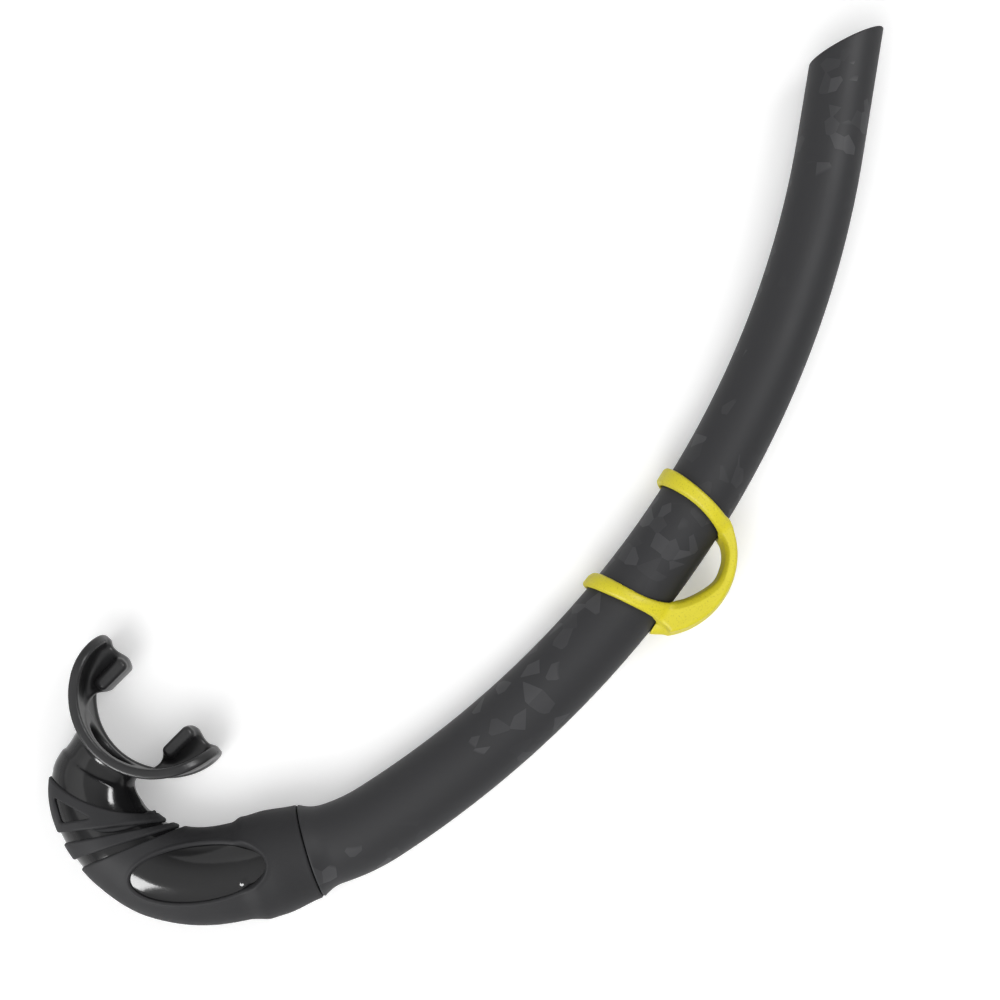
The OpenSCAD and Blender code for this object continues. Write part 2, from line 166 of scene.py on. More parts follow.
def soft_box(*sides: Array, radius: float) -> Array:
    """Gives the distance to a box with round edges from the distances to its sides."""
    q = np.stack([side + radius for side in sides])
    return np.linalg.norm(np.maximum(q, 0), axis=0) + np.minimum(q.max(axis=0), 0) - radius


def smooth_line(points: Sequence[tuple[float, float]], steps: int = 8) -> Array:
    """Draws a smooth curve through points.

    Args:
        points: what the curve passes through, from end to end.
        steps: points of the result for each stretch.

    Returns:
        The points of the curve.
    """
    p = np.array([points[0], *points, points[-1]], float)
    t = np.linspace(0, 1, steps, endpoint=False)[:, None]
    out = []
    for a, b, c, d in zip(p, p[1:], p[2:], p[3:]):
        square, cube = 2 * a - 5 * b + 4 * c - d, 3 * b - a - 3 * c + d
        out.append(0.5 * (2 * b + (c - a) * t + square * t**2 + cube * t**3))
    return np.vstack([*out, p[-1:]])


def loop_distance(points: Array, loop: Array) -> Array:
    """Gives the distance from points to a closed outline.

    Args:
        points: places on the plane.
        loop: the outline's corners in order.

    Returns:
        The distances, below zero inside the outline.
    """
    best = np.full(len(points), np.inf)
    inside = np.zeros(len(points), bool)
    for a, b in zip(loop, np.roll(loop, -1, axis=0)):
        ab, ap = b - a, points - a
        t = np.clip(ap @ ab / max(ab @ ab, 1e-12), 0, 1)
        best = np.minimum(best, np.hypot(*(ap - t[:, None] * ab).T))
        crosses = (a[1] > points[:, 1]) != (b[1] > points[:, 1])
        inside ^= crosses & (ap[:, 0] < ab[0] * ap[:, 1] / (ab[1] if ab[1] else 1e-12))
    return np.where(inside, -best, best)


def skin_of(
    solid: Field, room: Room, pitch: float, draws: int = 8, pull: float = 0.8, probe: float = 0.02
) -> tuple[Array, Array]:
    """Makes the skin of a distance field: one point for each cell that it crosses, drawn onto it.

    Args:
        solid: distance to the solid, below zero inside it.
        room: lowest and highest corner of the room round the solid.
        pitch: size of a cell.
        draws: how many times the points are drawn towards the skin.
        pull: how much of the way they go each time.
        probe: how far from a point its slope is measured.

    Returns:
        The skin's points, and its four-cornered faces.
    """
    axes = [np.arange(a, b + pitch, pitch) for a, b in zip(*room)]
    grid = np.stack(np.meshgrid(*axes, indexing="ij"), axis=-1)
    shape = grid.shape[:3]
    inside = solid(grid.reshape(-1, 3)).reshape(shape) < 0
    cells = [n - 1 for n in shape]
    count = np.zeros(cells, int)
    for i, j, k in np.ndindex(2, 2, 2):
        count += inside[i : cells[0] + i, j : cells[1] + j, k : cells[2] + k]
    crossed = (count > 0) & (count < 8)
    number = np.full(cells, -1)
    number[crossed] = np.arange(crossed.sum())
    points = grid[:-1, :-1, :-1][crossed] + pitch / 2
    faces = []
    for axis in range(3):
        step = np.roll([1, 0, 0], axis)
        first = inside[: shape[0] - step[0], : shape[1] - step[1], : shape[2] - step[2]]
        second = inside[step[0] :, step[1] :, step[2] :]
        at = np.argwhere(first != second)
        other, third = np.roll([0, 1, 0], axis), np.roll([0, 0, 1], axis)
        at = at[(at[:, (axis + 1) % 3] > 0) & (at[:, (axis + 2) % 3] > 0)]
        corners = [at - o * other - t * third for o, t in ((0, 0), (1, 0), (1, 1), (0, 1))]
        quad = np.stack([number[tuple(corner.T)] for corner in corners], axis=1)
        flip = ~first[tuple(at.T)]
        quad[flip] = quad[flip][:, ::-1]
        faces.append(quad)
    for _ in range(draws):
        rise = [solid(points + d) - solid(points - d) for d in np.eye(3) * probe]
        slope = np.stack(rise, axis=1) / (2 * probe)
        move = slope * (solid(points) / np.maximum((slope**2).sum(axis=1), 0.05))[:, None]
        points = points - np.clip(move, -pitch, pitch) * pull
    return points, np.vstack(faces)


def mesh_object(name: str, points: Array, faces: Array, finish: "Finish") -> Piece:
    """Makes a smooth-shaded mesh object with its doubles merged and its faces turned outwards.

    Args:
        name: the piece's name.
        points: its points in metres.
        faces: its faces as point numbers.
        finish: what it is dressed in.

    Returns:
        The new object, which sits at the origin.
    """
    mesh = bpy.data.meshes.new(name)
    mesh.from_pydata(points.tolist(), [], faces.tolist())
    close_up(mesh)
    mesh.materials.append(finish.material())
    return put(name, mesh)


def close_up(mesh: bpy.types.Mesh, gap: float = 2e-6) -> None:
    """Merges a mesh's doubles, turns its faces outwards and shades it smooth.

    Args:
        mesh: the mesh, which is changed.
        gap: how near doubles are to each other, in metres.
    """
    work = bmesh.new()
    work.from_mesh(mesh)
    bmesh.ops.remove_doubles(work, verts=work.verts, dist=gap)
    bmesh.ops.recalc_face_normals(work, faces=work.faces)
    work.to_mesh(mesh)
    work.free()
    mesh.shade_smooth()


def plain_mesh(piece: Piece) -> Piece:
    """Turns an object with modifiers into a plain mesh object of the same name.

    Args:
        piece: the object whose modifiers make its shape. It is removed.

    Returns:
        The plain mesh object.
    """
    name = piece.name
    made = bpy.data.meshes.new_from_object(piece.evaluated_get(bpy.context.evaluated_depsgraph_get()))
    bpy.data.objects.remove(piece)
    made.name = name
    close_up(made)
    return put(name, made)


@dataclass(frozen=True)
class Place:
    """A spot in the plane of the J, with a direction of its own in that plane."""

    x: float
    y: float
    z: float
    heading: float

    @classmethod
    def of_joint(cls, name: str) -> "Place":
        """Finds a joint of the CAD.

        Args:
            name: the joint's name.

        Returns:
            The joint's place, with the heading of its axis.
        """
        x, y, z = (v / MM for v in JOINTS[name]["pos_m"])
        ax, ay, _ = JOINTS[name]["axis"]
        return cls(x, y, z, math.degrees(math.atan2(ay, ax)) if (ax or ay) else 0.0)

    @property
    def facing(self) -> tuple[float, float]:
        """Gives the cosine and the sine of the heading."""
        return math.cos(math.radians(self.heading)), math.sin(math.radians(self.heading))

    def world(self, points: Array) -> Array:
        """Turns points of this place, in millimetres, into the frame's points in metres."""
        (x, y, z), (c, s) = np.asarray(points, float).T, self.facing
        return np.stack([self.x + c * x - s * y, self.y + s * x + c * y, self.z + z], axis=1) * MM

    def local(self, points: Array) -> Array:
        """Turns the frame's points in metres into points of this place, in millimetres."""
        (x, y, z), (c, s) = (np.asarray(points, float) / MM - (self.x, self.y, self.z)).T, self.facing
        return np.stack([c * x + s * y, c * y - s * x, z], axis=1)


SEAM = Place.of_joint("mouthpiece_swivel")
BEND_CENTRE = Place.of_joint("keeper_slide")


# Finishes


class Slot(Enum):
    """The record's material slots."""

    TUBE = "tube"
    GLOSS = "gloss_silicone"
    MATTE = "matte_cover"
    KEEPER = "keeper"


@dataclass(frozen=True)
class Finish:
    """A moulded surface: its colour, its gloss and the grain that the mould left on it."""

    name: str
    slot: Slot
    colour: str
    pale: str
    roughness: float
    roughness_swing: float
    ior: float
    grain_mm: float
    grain_depth_mm: float
    cloud_mm: float

    def material(self) -> bpy.types.Material:
        """Builds the finish as a node material.

        Returns:
            The material, with a cloudy colour, uneven gloss and a fine grain.
        """
        made = bpy.data.materials.new(self.name)
        tree = blank_tree(made)
        add = partial(add_node, tree)
        place = add("ShaderNodeTexCoord").outputs["Object"]
        cloud = add("ShaderNodeTexNoise", {"Vector": place, "Scale": 1 / (self.cloud_mm * MM), "Detail": 3.0})
        grain = add("ShaderNodeTexNoise", {"Vector": place, "Scale": 1 / (self.grain_mm * MM), "Detail": 2.0})
        colour = linear(self.colour)
        for share, over in self.layers(tree, cloud, grain):
            shares = {"Factor": share, "A": colour, "B": linear(over)}
            colour = add("ShaderNodeMix", shares, data_type="RGBA").outputs["Result"]
        depth = {"Height": grain, "Strength": 1.0, "Distance": self.grain_depth_mm * MM}
        surface = {
            "Base Color": colour,
            "Roughness": self.gloss(tree, cloud),
            "Normal": add("ShaderNodeBump", depth),
            "IOR": self.ior,
        }
        add("ShaderNodeOutputMaterial", {"Surface": add("ShaderNodeBsdfPrincipled", surface)})
        return made

    def gloss(self, tree: Tree, cloud: Node) -> Socket:
        """Adds the nodes that give the roughness, which drifts with the cloud.

        Args:
            tree: the material's node tree.
            cloud: the coarse noise.

        Returns:
            The roughness output.
        """
        low, high = self.roughness - self.roughness_swing, self.roughness + self.roughness_swing
        # Noise seldom leaves the span from 0.3 to 0.7
        drift = {"Value": cloud, "From Min": 0.3, "From Max": 0.7, "To Min": low, "To Max": high}
        return add_node(tree, "ShaderNodeMapRange", drift).outputs[0]

    def layers(self, tree: Tree, cloud: Node, grain: Node) -> Layers:
        """Gives the colours that lie over the base, each with the nodes that say where it shows.

        Args:
            tree: the material's node tree.
            cloud: the coarse noise.
            grain: the fine noise.

        Returns:
            Pairs of a share and a colour, from the lowest up: first a paler base where the cloud is high.
        """
        return [(cloud, self.pale)]


@dataclass(frozen=True)
class FleckedFinish(Finish):
    """A moulded surface with a faint, sparse print of small many-cornered flecks that follows the tube."""

    fleck: str = "#4a4a4c"
    fleck_mm: float = 5.5
    fleck_share: float = 0.1
    fleck_edge: float = 0.02
    fleck_ink: float = 0.7
    drift_mm: float = 65.0
    drift_pull: float = 2.0

    def layers(self, tree: Tree, cloud: Node, grain: Node) -> Layers:
        """Adds the flecks, which gather in loose drifts; the arguments are those of Finish.layers."""
        add = partial(add_node, tree)
        wrap = add("ShaderNodeUVMap", uv_map="wrap")
        size = {"Vector": wrap, "Scale": WRAP_MM / self.fleck_mm}
        cells = add("ShaderNodeTexVoronoi", size, voronoi_dimensions="2D")
        chance = add("ShaderNodeSeparateColor", {"Color": cells.outputs["Color"]}).outputs
        size = {"Vector": wrap, "Scale": WRAP_MM / self.drift_mm, "Detail": 1.0}
        drift = add("ShaderNodeTexNoise", size, noise_dimensions="2D")
        often = add("ShaderNodeMath", {0: drift, 1: self.drift_pull, 2: chance[0]}, operation="MULTIPLY_ADD")
        least = self.drift_pull - self.fleck_share
        span = {"From Min": least, "From Max": least + self.fleck_edge, "To Max": self.fleck_ink}
        shown = add("ShaderNodeMapRange", {"Value": often, **span})
        worn = add("ShaderNodeMath", {0: shown, 1: chance[1]}, operation="MULTIPLY")
        return [*super().layers(tree, cloud, grain), (worn, self.fleck)]


@dataclass(frozen=True)
class LipFinish(Finish):
    """A polished surface that turns satin where the moulding's "satin" attribute is 1."""

    satin: str = "#242425"
    satin_roughness: float = 0.36

    def gloss(self, tree: Tree, cloud: Node) -> Socket:
        """Adds the roughness; the arguments are those of Finish.gloss."""
        worn = add_node(tree, "ShaderNodeAttribute", attribute_name="satin").outputs["Fac"]
        shares = {"Factor": worn, "A": super().gloss(tree, cloud), "B": self.satin_roughness}
        return add_node(tree, "ShaderNodeMix", shares).outputs["Result"]

    def layers(self, tree: Tree, cloud: Node, grain: Node) -> Layers:
        """Adds the satin colour; the arguments are those of Finish.layers."""
        worn = add_node(tree, "ShaderNodeAttribute", attribute_name="satin").outputs["Fac"]
        return [*super().layers(tree, cloud, grain), (worn, self.satin)]


@dataclass(frozen=True)
class SpeckledFinish(Finish):
    """A soft rubber with fine specks of a deeper colour in it."""

    speck: str = "#b3a416"
    speck_share: float = 0.5
    speck_from: float = 0.42
    speck_full: float = 0.3

    def layers(self, tree: Tree, cloud: Node, grain: Node) -> Layers:
        """Adds the specks; the arguments are those of Finish.layers."""
        span = {"From Min": self.speck_from, "From Max": self.speck_full, "To Max": self.speck_share}
        specks = add_node(tree, "ShaderNodeMapRange", {"Value": grain, "To Min": 0.0, **span})
        return [*super().layers(tree, cloud, grain), (specks, self.speck)]


# Moulded PVC from a spark-eroded mould: charcoal, an even dull sheen, a faint print of flecks under the
# surface. The mould's grain of about 0.1 mm is drawn at 0.5 mm, as fine as the render can show
TUBE_PVC = FleckedFinish(
    "moulded_pvc", Slot.TUBE, colour="#272729", pale="#2c2c2e", roughness=0.58, roughness_swing=0.04,
    ior=1.35, grain_mm=0.5, grain_depth_mm=0.02, cloud_mm=28.0,
)  # fmt: skip
# Liquid silicone from a polished mould: near black, wet-looking highlights that a shallow waviness of 1.6 mm
# breaks up a little. The lip flange and the bite tabs come from a blasted part of the mould: satin and paler
GLOSS_SILICONE = LipFinish(
    "polished_silicone", Slot.GLOSS, colour="#19191a", pale="#1f1f20", roughness=0.12, roughness_swing=0.03,
    ior=1.38, grain_mm=1.6, grain_depth_mm=0.01, cloud_mm=14.0,
)  # fmt: skip
# Thermoplastic rubber overmould from a grained mould: soft black, no clear highlight. The grit of 0.2 mm is
# drawn at 0.45 mm, as fine as the render can show
MATTE_OVERMOULD = Finish(
    "matte_overmould", Slot.MATTE, colour="#1f1f21", pale="#242426", roughness=0.68, roughness_swing=0.04,
    ior=1.35, grain_mm=0.45, grain_depth_mm=0.03, cloud_mm=18.0,
)  # fmt: skip
# Moulded yellow rubber: satin, slightly mottled, with specks of pigment. The specks of about 0.2 mm are drawn
# at 0.55 mm, as fine as the render can show
KEEPER_RUBBER = SpeckledFinish(
    "yellow_rubber", Slot.KEEPER, colour="#e1d420", pale="#e7db2a", roughness=0.5, roughness_swing=0.06,
    ior=1.42, grain_mm=0.55, grain_depth_mm=0.03, cloud_mm=9.0,
)  # fmt: skip


# Tube


@dataclass
class SnorkelTube:
    """The moulded tube: straight top with a slanted mouth, long bend, tighter bend, shoulder and spigot."""

    bend_r: float = 366.0
    top_angle: float = 22.5
    toe_angle: float = -25.0
    toe_r: float = 70.0
    toe_turn: float = 15.0
    top_r: float = 12.4
    foot_r: float = 14.25
    wall: float = 2.2
    top_len: float = 39.0
    slant: float = 36.0
    shoulder_r: float = 16.9
    shoulder_len: float = 8.0
    spigot_r: float = 13.0
    spigot_ir: float = 11.0
    spigot_len: float = 18.0
    bead_at: float = 11.0
    bead_h: float = 0.7
    spigot_edge: float = 0.6
    shoulder_edge: Rows = ((-0.006, 0.9), (0.0, 0.75), (0.06, 0.5), (0.25, 0.33))
    lip: float = 0.9
    sides: int = 112
    pitch: float = 2.5
    finish: Finish = field(default=TUBE_PVC)

    def __post_init__(self) -> None:
        """Works out the lengths along the centreline from the seam."""
        self.toe_end = self.shoulder_len + self.toe_r * math.radians(self.toe_turn)
        self.bend_end = self.toe_end + self.bend_r * math.radians(self.top_angle - self.toe_angle)
        self.end = self.bend_end + self.top_len

    def centre(self, s: Array) -> tuple[Array, Array]:
        """Gives the centreline at s, measured from the seam towards the top.

        Args:
            s: places along the centreline.

        Returns:
            The points about the bend's centre, and the turn of the tube there in radians.
        """
        toe = math.radians(self.toe_angle)
        foot = toe - math.radians(self.toe_turn)
        on_toe = np.clip(s, self.shoulder_len, self.toe_end)
        on_bend = np.clip(s, self.toe_end, self.bend_end)
        phi = foot + (on_toe - self.shoulder_len) / self.toe_r + (on_bend - self.toe_end) / self.bend_r
        radius = np.where(s < self.toe_end, self.toe_r, self.bend_r)
        hub = np.where(s < self.toe_end, self.bend_r - self.toe_r, 0.0)
        x, y = radius * np.sin(phi) + hub * math.sin(toe), -radius * np.cos(phi) - hub * math.cos(toe)
        extra = np.minimum(s - self.shoulder_len, 0) + np.maximum(s - self.bend_end, 0)
        return np.stack([x + extra * np.cos(phi), y + extra * np.sin(phi)], axis=1), phi

    def outer_rows(self) -> list[tuple[float, float]]:
        """Gives the outside, from the spigot's end to the rim.

        Returns:
            Rows of (s, radius). The shoulder's edge is given by how far it lies below the shoulder's radius.
        """
        # No two points of a line share a place, so a flat face takes a step of some microns, here and below
        edge, reach, middle = self.spigot_edge, 2 * self.bead_h, (self.spigot_r + self.spigot_ir) / 2
        rows = [(-self.spigot_len, middle)]
        for t in np.radians([2, 25, 50, 75, 90]):
            s = -self.spigot_len + edge * (1 - math.cos(t)) + 0.002
            rows.append((s, self.spigot_r - edge + edge * math.sin(t)))
        for x in np.linspace(-1, 1, 13) * reach * math.sqrt(0.75):
            rows.append((-self.bead_at + x, self.spigot_r - self.bead_h + math.sqrt(reach**2 - x * x)))
        rows += [(-0.3, self.spigot_r), (-0.012, self.spigot_r)]
        rows += [(s, self.shoulder_r - below) for s, below in self.shoulder_edge]
        for s in np.linspace(0.6, self.shoulder_len, 10):
            rows.append((s, self.foot_r + (self.shoulder_r - self.foot_r) * (1 - s / self.shoulder_len) ** 2))
        rows += [(s, self.taper(s)) for s in self.stations(self.shoulder_len + 1.5)]
        return rows + self.rim_rows(self.top_r, 1)

    def inner_rows(self) -> list[tuple[float, float]]:
        """Gives the bore, from the spigot's end to the rim.

        Returns:
            Rows of (s, radius).
        """
        end, middle = -self.spigot_len, (self.spigot_r + self.spigot_ir) / 2
        rows = [(end, middle), (end + 0.01, self.spigot_ir + 0.4), (end + 0.5, self.spigot_ir)]
        rows.append((-6.0, self.spigot_ir))
        widen = [(0, self.spigot_ir), (self.shoulder_len, self.foot_r - self.wall)]
        rows += [(s, float(eased(s, widen))) for s in np.linspace(0, self.shoulder_len, 7)]
        rows += [(s, self.taper(s) - self.wall) for s in self.stations(self.shoulder_len + 2)]
        return rows + self.rim_rows(self.top_r - self.wall, -1)

    def rim_rows(self, radius: float, way: int) -> list[tuple[float, float]]:
        """Rounds the rim off.

        Args:
            radius: the wall's outer or inner radius.
            way: 1 to round inwards, -1 to round outwards.

        Returns:
            Rows of (s, radius), up to the middle of the wall.
        """
        rows = []
        for t in np.radians([0, 20, 40, 60, 80]):
            s = self.end - self.lip * (1 - math.sin(t))
            rows.append((s, radius - way * self.lip * (1 - math.cos(t))))
        return rows + [(self.end + 0.001, self.top_r - self.wall / 2)]

    def stations(self, start: float) -> Array:
        """Gives even places from start to just under the rim."""
        return np.linspace(start, self.end - 1.2, int((self.end - start) / self.pitch))

    def taper(self, s: float) -> float:
        """Gives the outside radius of the bent tube and of its straight top."""
        t = (min(s, self.bend_end) - self.shoulder_len) / (self.bend_end - self.shoulder_len)
        return self.foot_r + (self.top_r - self.foot_r) * t

    def path(self) -> Piece:
        """Makes the curve that the tree sweeps.

        Returns:
            The curve, with one line for the outside and one for the bore.
        """
        curve = bpy.data.curves.new("tube_visual", "CURVE")
        curve.dimensions = "3D"
        for rows in (self.outer_rows(), self.inner_rows()):
            s, r = np.array(rows).T
            points = BEND_CENTRE.world(np.c_[self.centre(s)[0], np.zeros(len(s))])
            line = curve.splines.new("POLY")
            line.points.add(len(s) - 1)
            line.points.foreach_set("co", np.c_[points, np.ones(len(s))].ravel())
            line.points.foreach_set("radius", r * MM)
        return put("tube_visual", curve)

    def tree(self) -> bpy.types.GeometryNodeTree:
        """Builds the tree that sweeps a round section along the path and slants the tube's mouth.

        Returns:
            The tree, with its sizes as named inputs.
        """
        tree = bpy.data.node_groups.new("swept_tube", "GeometryNodeTree")
        for name, kind in (
            ("Geometry", "NodeSocketGeometry"),
            ("Sides", "NodeSocketInt"),
            ("Straight Start", "NodeSocketVector"),
            ("Along", "NodeSocketVector"),
            ("Hollow Side", "NodeSocketVector"),
            ("Slant per Metre", "NodeSocketFloat"),
            ("Finish", "NodeSocketMaterial"),
        ):
            tree.interface.new_socket(name, in_out="INPUT", socket_type=kind)
        tree.interface.new_socket("Geometry", in_out="OUTPUT", socket_type="NodeSocketGeometry")
        add = partial(add_node, tree)
        given = add("NodeGroupInput").outputs
        upright = add("GeometryNodeSetCurveNormal", {"Curve": given["Geometry"]}, mode="Z_UP")
        section = add("GeometryNodeCurvePrimitiveCircle", {"Resolution": given["Sides"], "Radius": 1.0})
        radius = add("GeometryNodeInputRadius")
        swept = add("GeometryNodeCurveToMesh", {"Curve": upright, "Profile Curve": section, "Scale": radius})
        here = add("GeometryNodeInputPosition")
        away = add("ShaderNodeVectorMath", {0: here, 1: given["Straight Start"]}, operation="SUBTRACT")
        along, aside = (
            add("ShaderNodeVectorMath", {0: away, 1: given[way]}, operation="DOT_PRODUCT").outputs["Value"]
            for way in ("Along", "Hollow Side")
        )
        past = add("ShaderNodeMath", {0: along, 1: 0.0}, operation="MAXIMUM")
        lean = add("ShaderNodeMath", {0: past, 1: aside}, operation="MULTIPLY")
        slide = add("ShaderNodeMath", {0: lean, 1: given["Slant per Metre"]}, operation="MULTIPLY")
        shift = add("ShaderNodeVectorMath", {0: given["Along"], "Scale": slide}, operation="SCALE")
        slanted = add("GeometryNodeSetPosition", {"Geometry": swept, "Offset": shift})
        closed = add("GeometryNodeMergeByDistance", {"Geometry": slanted, "Distance": 2e-6})
        real = add("GeometryNodeRealizeInstances", {"Geometry": closed})
        dressed = add("GeometryNodeSetMaterial", {"Geometry": real, "Material": given["Finish"]})
        add("NodeGroupOutput", {0: dressed})
        return tree

    def build(self) -> Piece:
        """Builds the tube as one closed piece.

        Returns:
            The dressed tube.
        """
        point, (phi,) = self.centre(np.array([self.bend_end]))
        path = self.path()
        sweep = path.modifiers.new("sweep", "NODES")
        sweep.node_group = self.tree()
        values = {
            "Sides": self.sides,
            "Straight Start": BEND_CENTRE.world(np.c_[point, [0.0]])[0].tolist(),
            "Along": [math.cos(phi), math.sin(phi), 0.0],
            "Hollow Side": [-math.sin(phi), math.cos(phi), 0.0],
            "Slant per Metre": -math.tan(math.radians(self.slant)) / (self.top_len * MM),
            "Finish": self.finish.material(),
        }
        for item in sweep.node_group.interface.items_tree:
            if item.name in values:
                sweep[item.identifier] = values[item.name]
        tube = plain_mesh(path)
        self.wrap(tube.data)
        return tube

    def wrap(self, mesh: bpy.types.Mesh) -> None:
        """Lays a map over the tube, along it and round it.

        Args:
            mesh: the tube's mesh, which gets the map.
        """
        p = BEND_CENTRE.local(points_of(mesh))
        limits = math.radians(self.toe_angle), math.radians(self.top_angle)
        turn = np.clip(np.arctan2(p[:, 0], -p[:, 1]), *limits)
        out = np.stack([np.sin(turn), -np.cos(turn)], axis=1)
        off = p[:, :2] - self.bend_r * out
        along = self.bend_r * turn - off[:, 0] * out[:, 1] + off[:, 1] * out[:, 0]
        round_it = np.arctan2(p[:, 2], (off * out).sum(axis=1))
        corner = np.empty(len(mesh.loops), int)
        mesh.loops.foreach_get("vertex_index", corner)
        first = np.empty(len(mesh.polygons), int)
        mesh.polygons.foreach_get("loop_start", first)
        size = np.diff(np.append(first, len(corner)))
        angle = round_it[corner]
        lead = np.repeat(angle[first], size)
        angle = lead + (angle - lead + math.pi) % (2 * math.pi) - math.pi
        uv = np.stack([along[corner], angle * self.foot_r], axis=1) / WRAP_MM
        mesh.uv_layers.new(name="wrap").data.foreach_set("uv", uv.ravel())


# Mouthpiece


@dataclass
class Elbow:
    """The mouthpiece's bent middle: a centreline of a straight and two arcs, with oval sections.

    Places on it are (s, u, z): along the centreline from the seam, out of the bend, and across the plane
    of the J.
    """

    lead_len: float = 20.0
    first_r: float = 55.0
    first_turn: float = 50.0
    second_r: float = 25.5
    second_turn: float = 86.0
    socket_r: float = 15.66
    elbow_out: float = 16.6
    elbow_in: float = 16.6
    bend_out: float = 13.9
    bend_in: float = 15.1
    neck_out: float = 15.2
    neck_in: float = 16.1
    root_out: float = 13.0
    root_in: float = 14.0
    elbow_h: float = 31.0
    neck_h: float = 23.0
    spigot_len: float = 18.0
    grow_len: float = 9.0
    root_len: float = 5.0

    def __post_init__(self) -> None:
        """Works out where the second arc and the lip flange start, and the centres of the two arcs."""
        turn = math.radians(self.first_turn)
        self.s_second = self.lead_len + self.first_r * turn
        self.s_flange = self.s_second + self.second_r * math.radians(self.second_turn)
        self.first_hub = np.array([self.lead_len, -self.first_r])
        way = np.array([math.sin(turn), math.cos(turn)])
        self.second_hub = self.first_hub + (self.first_r - self.second_r) * way

    def half_w(self, s: Array, outside: Array) -> Array:
        """Gives how far the section reaches from the centreline, in the plane of the J.

        Args:
            s: places along the centreline.
            outside: true for the outside of the bend, false for its hollow side.

        Returns:
            The reach at each place.
        """
        # Widths change at places before or past the second arc's start, and before the flange
        bend, flange, socket = self.s_second, self.s_flange, (self.spigot_len, self.socket_r)
        out = [socket, (bend - 24, self.elbow_out), (bend - 16, self.elbow_out), (bend + 9, self.bend_out)]
        out += [(flange - 11, self.neck_out), (flange - 8, self.neck_out), (flange, self.root_out)]
        hollow = [socket, (self.spigot_len + 6, self.elbow_in)]
        hollow += [(bend - 16, self.bend_in), (bend - 12, self.bend_in), (bend + 2, self.neck_in)]
        hollow += [(bend + 12, self.neck_in), (flange - self.root_len, self.root_in)]
        return np.where(outside, eased(s, out), eased(s, hollow))

    def half_h(self, s: Array) -> Array:
        """Gives how far the section reaches across the plane of the J.

        Args:
            s: places along the centreline.

        Returns:
            The reach at each place.
        """
        grown = self.spigot_len + self.grow_len
        rows = [(self.spigot_len, 2 * self.socket_r), (grown, self.elbow_h), (self.s_second, self.elbow_h)]
        return eased(s, rows + [(self.s_flange - self.root_len, self.neck_h)]) / 2

    def at(self, s: Array, u: Array) -> Array:
        """Gives points in the plane of the J.

        Args:
            s: places along the centreline.
            u: how far out of the bend.

        Returns:
            The points, seen from the seam.
        """
        s, u = np.broadcast_arrays(np.asarray(s, float), np.asarray(u, float))
        a1 = (s - self.lead_len) / self.first_r
        a2 = math.radians(self.first_turn) + (s - self.s_second) / self.second_r
        straight = np.stack([s, u], axis=-1)
        way1, way2 = (np.stack([np.sin(a), np.cos(a)], axis=-1) for a in (a1, a2))
        first = self.first_hub + (self.first_r + u)[..., None] * way1
        second = self.second_hub + (self.second_r + u)[..., None] * way2
        bent = np.where((s < self.s_second)[..., None], first, second)
        return np.where((s < self.lead_len)[..., None], straight, bent)

    def locate(self, p: Array) -> tuple[Array, Array]:
        """Finds where points lie along the elbow.

        Args:
            p: points seen from the seam.

        Returns:
            Their s and their u.
        """
        turn = math.radians(self.first_turn)
        q1, q2 = p[:, :2] - self.first_hub, p[:, :2] - self.second_hub
        on_second = q2 @ (math.cos(turn), -math.sin(turn)) > 0
        on_first = ~on_second & (q1[:, 0] > 0)
        a2 = np.arctan2(q2[:, 0], q2[:, 1])
        a2 = np.where(a2 < -math.pi / 2, a2 + 2 * math.pi, a2)
        s1 = self.lead_len + self.first_r * np.arctan2(q1[:, 0], q1[:, 1])
        s = np.where(on_second, self.s_second + self.second_r * (a2 - turn), np.where(on_first, s1, p[:, 0]))
        u1, u2 = np.hypot(*q1.T) - self.first_r, np.hypot(*q2.T) - self.second_r
        return s, np.where(on_second, u2, np.where(on_first, u1, p[:, 1]))

    def skin(self, s: Array, t: Array, lift: Array | float) -> Array:
        """Gives points lifted off the elbow's skin, at s along it and the angle t from its outside."""
        flat = self.at(s, (self.half_w(s, np.cos(t) > 0) + lift) * np.cos(t))
        return np.concatenate([flat, ((self.half_h(s) + lift) * np.sin(t))[..., None]], axis=-1)


ELBOW = Elbow()


def oval(u: Array, z: Array, a: Array, b: Array) -> Array:
    """Gives the distance to an oval of half-axes a and b, near its outline."""
    k = np.hypot(u / a, z / b)
    return k * (k - 1) / np.maximum(np.hypot(u / a**2, z / b**2), 1e-6)


